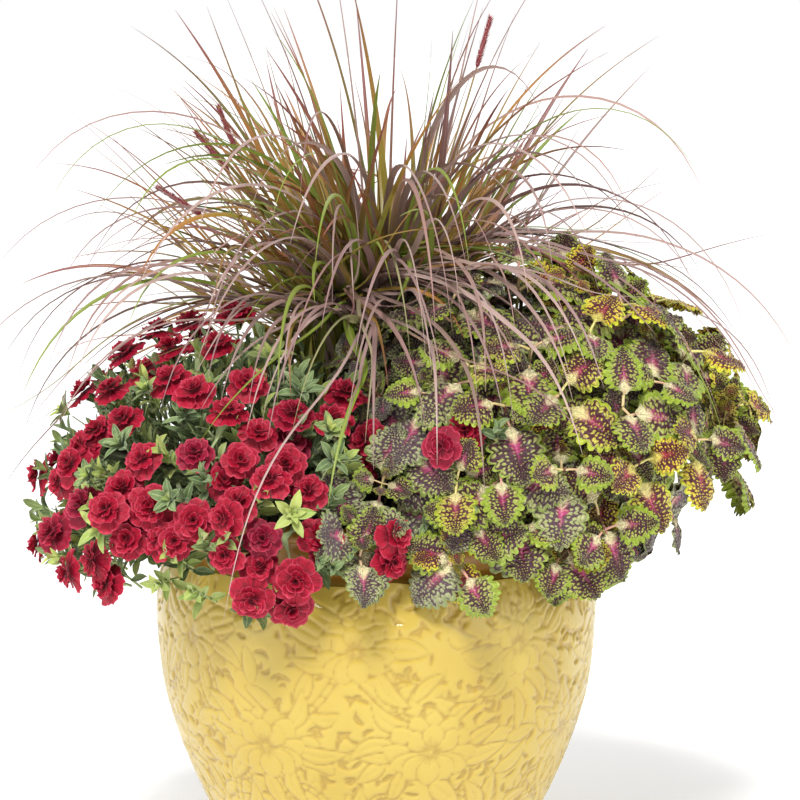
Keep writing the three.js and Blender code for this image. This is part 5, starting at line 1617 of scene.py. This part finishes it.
# Shoots of the coleus that show most: [across and down the front view, depth, size, youth].
FRONT_ROSETTES = [
    (382, 488, -196, 1.1, 0.05), (357, 530, -222, 0.95, 0.1), (480, 500, -200, 1.1, 0.08),
    (562, 292, -40, 0.85, 0.6), (608, 314, -60, 0.85, 0.5), (650, 345, -60, 0.85, 0.4),
    (690, 372, -40, 0.8, 0.6), (716, 398, -40, 0.75, 0.7), (722, 424, -50, 0.75, 0.55),
    (545, 455, -190, 0.8, 1.0), (568, 290, -80, 0.75, 0.85), (452, 546, -214, 0.75, 0.95),
    (594, 536, -150, 0.7, 0.9),
]


def rosette_places(draw):
    """Where the coleus's further rosettes stand: [place, how it faces, size, youth if it is given]."""
    places = []
    for k in range(ROSETTE_TRIES):
        point, facing = spiral_place(COLEUS, k, draw, (-0.5, 1.0), (0.8, 0.92))
        if inside_share(CALIBRACHOA, point) < 0.85 or by_the_neck(point, 214, 366):
            continue
        if from_crown(point) < 60 or point[0] > 220 and point[2] < 365:
            continue
        places.append((point, facing, draw(0.72, 1.0), None))
    for px, py, y, size, youth in FRONT_ROSETTES:
        places.append((seen_at(px, py, y), unit(np.array([0.05, -1.0, 0.35])), size, youth))
    return places


def coleus_pieces(leaf_look, petiole_look, stem_look):
    """The leaves where the solids have them, more leafy shoots on stems of their own, and the stems."""
    draw = seeded(COLEUS_SEED)
    nodes = nodes_named("coleus_stem")
    stems, shape = Stems(), Shape()
    for node in nodes:
        net = Net(node)
        leaves = find_leaves(net)
        for leaf in leaves:
            youth = 0.2 + 0.0018 * (leaf["tip"][0] - 110) + draw(-0.22, 0.4)
            youth += 0.25 * (leaf["width"] < 40)
            coleus_leaf(shape, leaf, draw, float(np.clip(youth, 0, 1)))
        stems.keep(net, leaves)
    shape.piece("coleus_leaves", [leaf_look, petiole_look], "coleus_leaf", nodes)
    fill = Shape()
    crown = np.array([*COLEUS_CROWN, soil_top(*COLEUS_CROWN)])
    for point, facing, size, youth in rosette_places(draw)[::-1][:ROSETTES]:
        if youth is None:
            youth = float(np.clip(0.24 + 0.0016 * (point[0] - 110) + draw(-0.24, 0.46), 0, 1))
        shoot = unit(facing + UP * 0.3)
        add_rosette(fill, point, shoot, facing, size, draw, youth)
        spot = crown + np.array([draw(-22, 22), draw(-22, 22), -12.0])
        line = bezier([spot, spot + UP * draw(60, 100), point - shoot * 70, point], 10)
        kind = (0.3, draw(0, 1), draw(0, 1))
        add_tube(fill, line, np.linspace(3.0, 1.8, 10), 6, (0, 0.3, 0.5), kind, SHOOT_STEM)
    for k in range(DEPTH_ROSETTES):
        point, axis = depth_place(COLEUS, CALIBRACHOA, k, draw)
        if point is not None:
            add_rosette(fill, point, axis, axis, draw(0.8, 1.0), draw, 0.1, pairs=2, plain=True)
    fill.piece("coleus_more_shoots", [leaf_look, petiole_look, stem_look], "coleus_leaf", nodes)
    stems.piece("coleus_stems", stem_look, "coleus_leaf", nodes)


# ---- The studio ----

AMBIENT = 0.38
# Half the floor's width, in metres, which is also as far as the camera sees.
FLOOR_REACH = 60
SUN_TOWARDS, SUN_STRENGTH, SUN_DEGREES = (-0.2, -1.0, 1.2), 2.9, 14
# The soft lights, in metres and watts: [name, place, what it is aimed at, width, power].
LIGHTS = [
    ("right_fill", (2.6, -1.7, 1.5), (0, 0, 0.35), 3.0, 44),
    ("left_fill", (-2.7, -1.5, 1.4), (0, 0, 0.35), 3.0, 36),
    ("back", (0.6, 2.6, 2.4), (0, 0, 0.5), 2.0, 16),
]
# The camera's lens and film width, and the middle of its picture: right of the pot and above its ledge.
LENS, FILM, AIM_RIGHT, AIM_UP = 146.74, 36, 22, 134


def placed(name, data, turn, place=(0, 0, 0)):
    """A new light or camera in the scene."""
    made = bpy.data.objects.new(name, data)
    made.location = place
    made.rotation_euler = turn.to_euler()
    bpy.context.scene.collection.objects.link(made)
    return made


def add_floor_and_world():
    """A pale floor, and a world that is white behind the planter and dimmer as a light."""
    mesh = bpy.data.meshes.new("floor")
    corners = [(FLOOR_REACH * x, FLOOR_REACH * y, 0) for x, y in ((-1, -1), (1, -1), (1, 1), (-1, 1))]
    mesh.from_pydata(corners, [], [(0, 1, 2, 3)])
    mesh.materials.append(floor_look())
    floor = bpy.data.objects.new("floor", mesh)
    bpy.context.scene.collection.objects.link(floor)
    world = bpy.data.worlds.new("studio")
    world.use_nodes = True
    tree = world.node_tree
    backdrop = tree.nodes["Background"]
    backdrop.inputs["Color"].default_value = (1, 1, 1, 1)
    seen = tree.nodes.new("ShaderNodeLightPath")
    strength = tree.nodes.new("ShaderNodeMapRange")
    strength.inputs["To Min"].default_value, strength.inputs["To Max"].default_value = AMBIENT, 1.0
    tree.links.new(seen.outputs["Is Camera Ray"], strength.inputs["Value"])
    tree.links.new(strength.outputs[0], backdrop.inputs["Strength"])
    bpy.context.scene.world = world


def studio():
    """The floor and the world, a soft sun from the front left, soft lights all round and the camera."""
    bpy.context.scene.view_settings.view_transform = "Standard"
    add_floor_and_world()
    sun = bpy.data.lights.new("soft_sun", "SUN")
    sun.energy, sun.angle = SUN_STRENGTH, math.radians(SUN_DEGREES)
    placed("soft_sun", sun, Vector(SUN_TOWARDS).to_track_quat("Z", "Y"))
    for name, place, aim, width, power in LIGHTS:
        lamp = bpy.data.lights.new(name, "AREA")
        lamp.shape, lamp.size, lamp.energy = "DISK", width, power
        placed(name, lamp, (Vector(aim) - Vector(place)).to_track_quat("-Z", "Y"), place)
    back, up = math.cos(EYE_ABOVE), math.sin(EYE_ABOVE)
    eye = Vector((0, -EYE_DISTANCE * back, LEDGE_Z + EYE_DISTANCE * up))
    aim = Vector((AIM_RIGHT, AIM_UP * up, LEDGE_Z + AIM_UP * back))
    data = bpy.data.cameras.new("camera")
    data.lens, data.sensor_width, data.clip_end = LENS, FILM, FLOOR_REACH
    camera = placed("camera", data, (aim - eye).to_track_quat("-Z", "Y"), eye * MM)
    bpy.context.scene.camera = camera


def main():
    """Every piece, the soil's material and the studio."""
    greens = green_look()
    pot_pieces(glaze_look())
    bloom_pieces(petal_look(), greens)
    spray_pieces(greens)
    coleus_pieces(coleus_look(), petiole_look(), coleus_stem_look())
    grass_pieces(blade_look(), plume_look())
    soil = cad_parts["soil"]
    soil.data.materials.clear()
    soil.data.materials.append(soil_look())
    studio()


main()
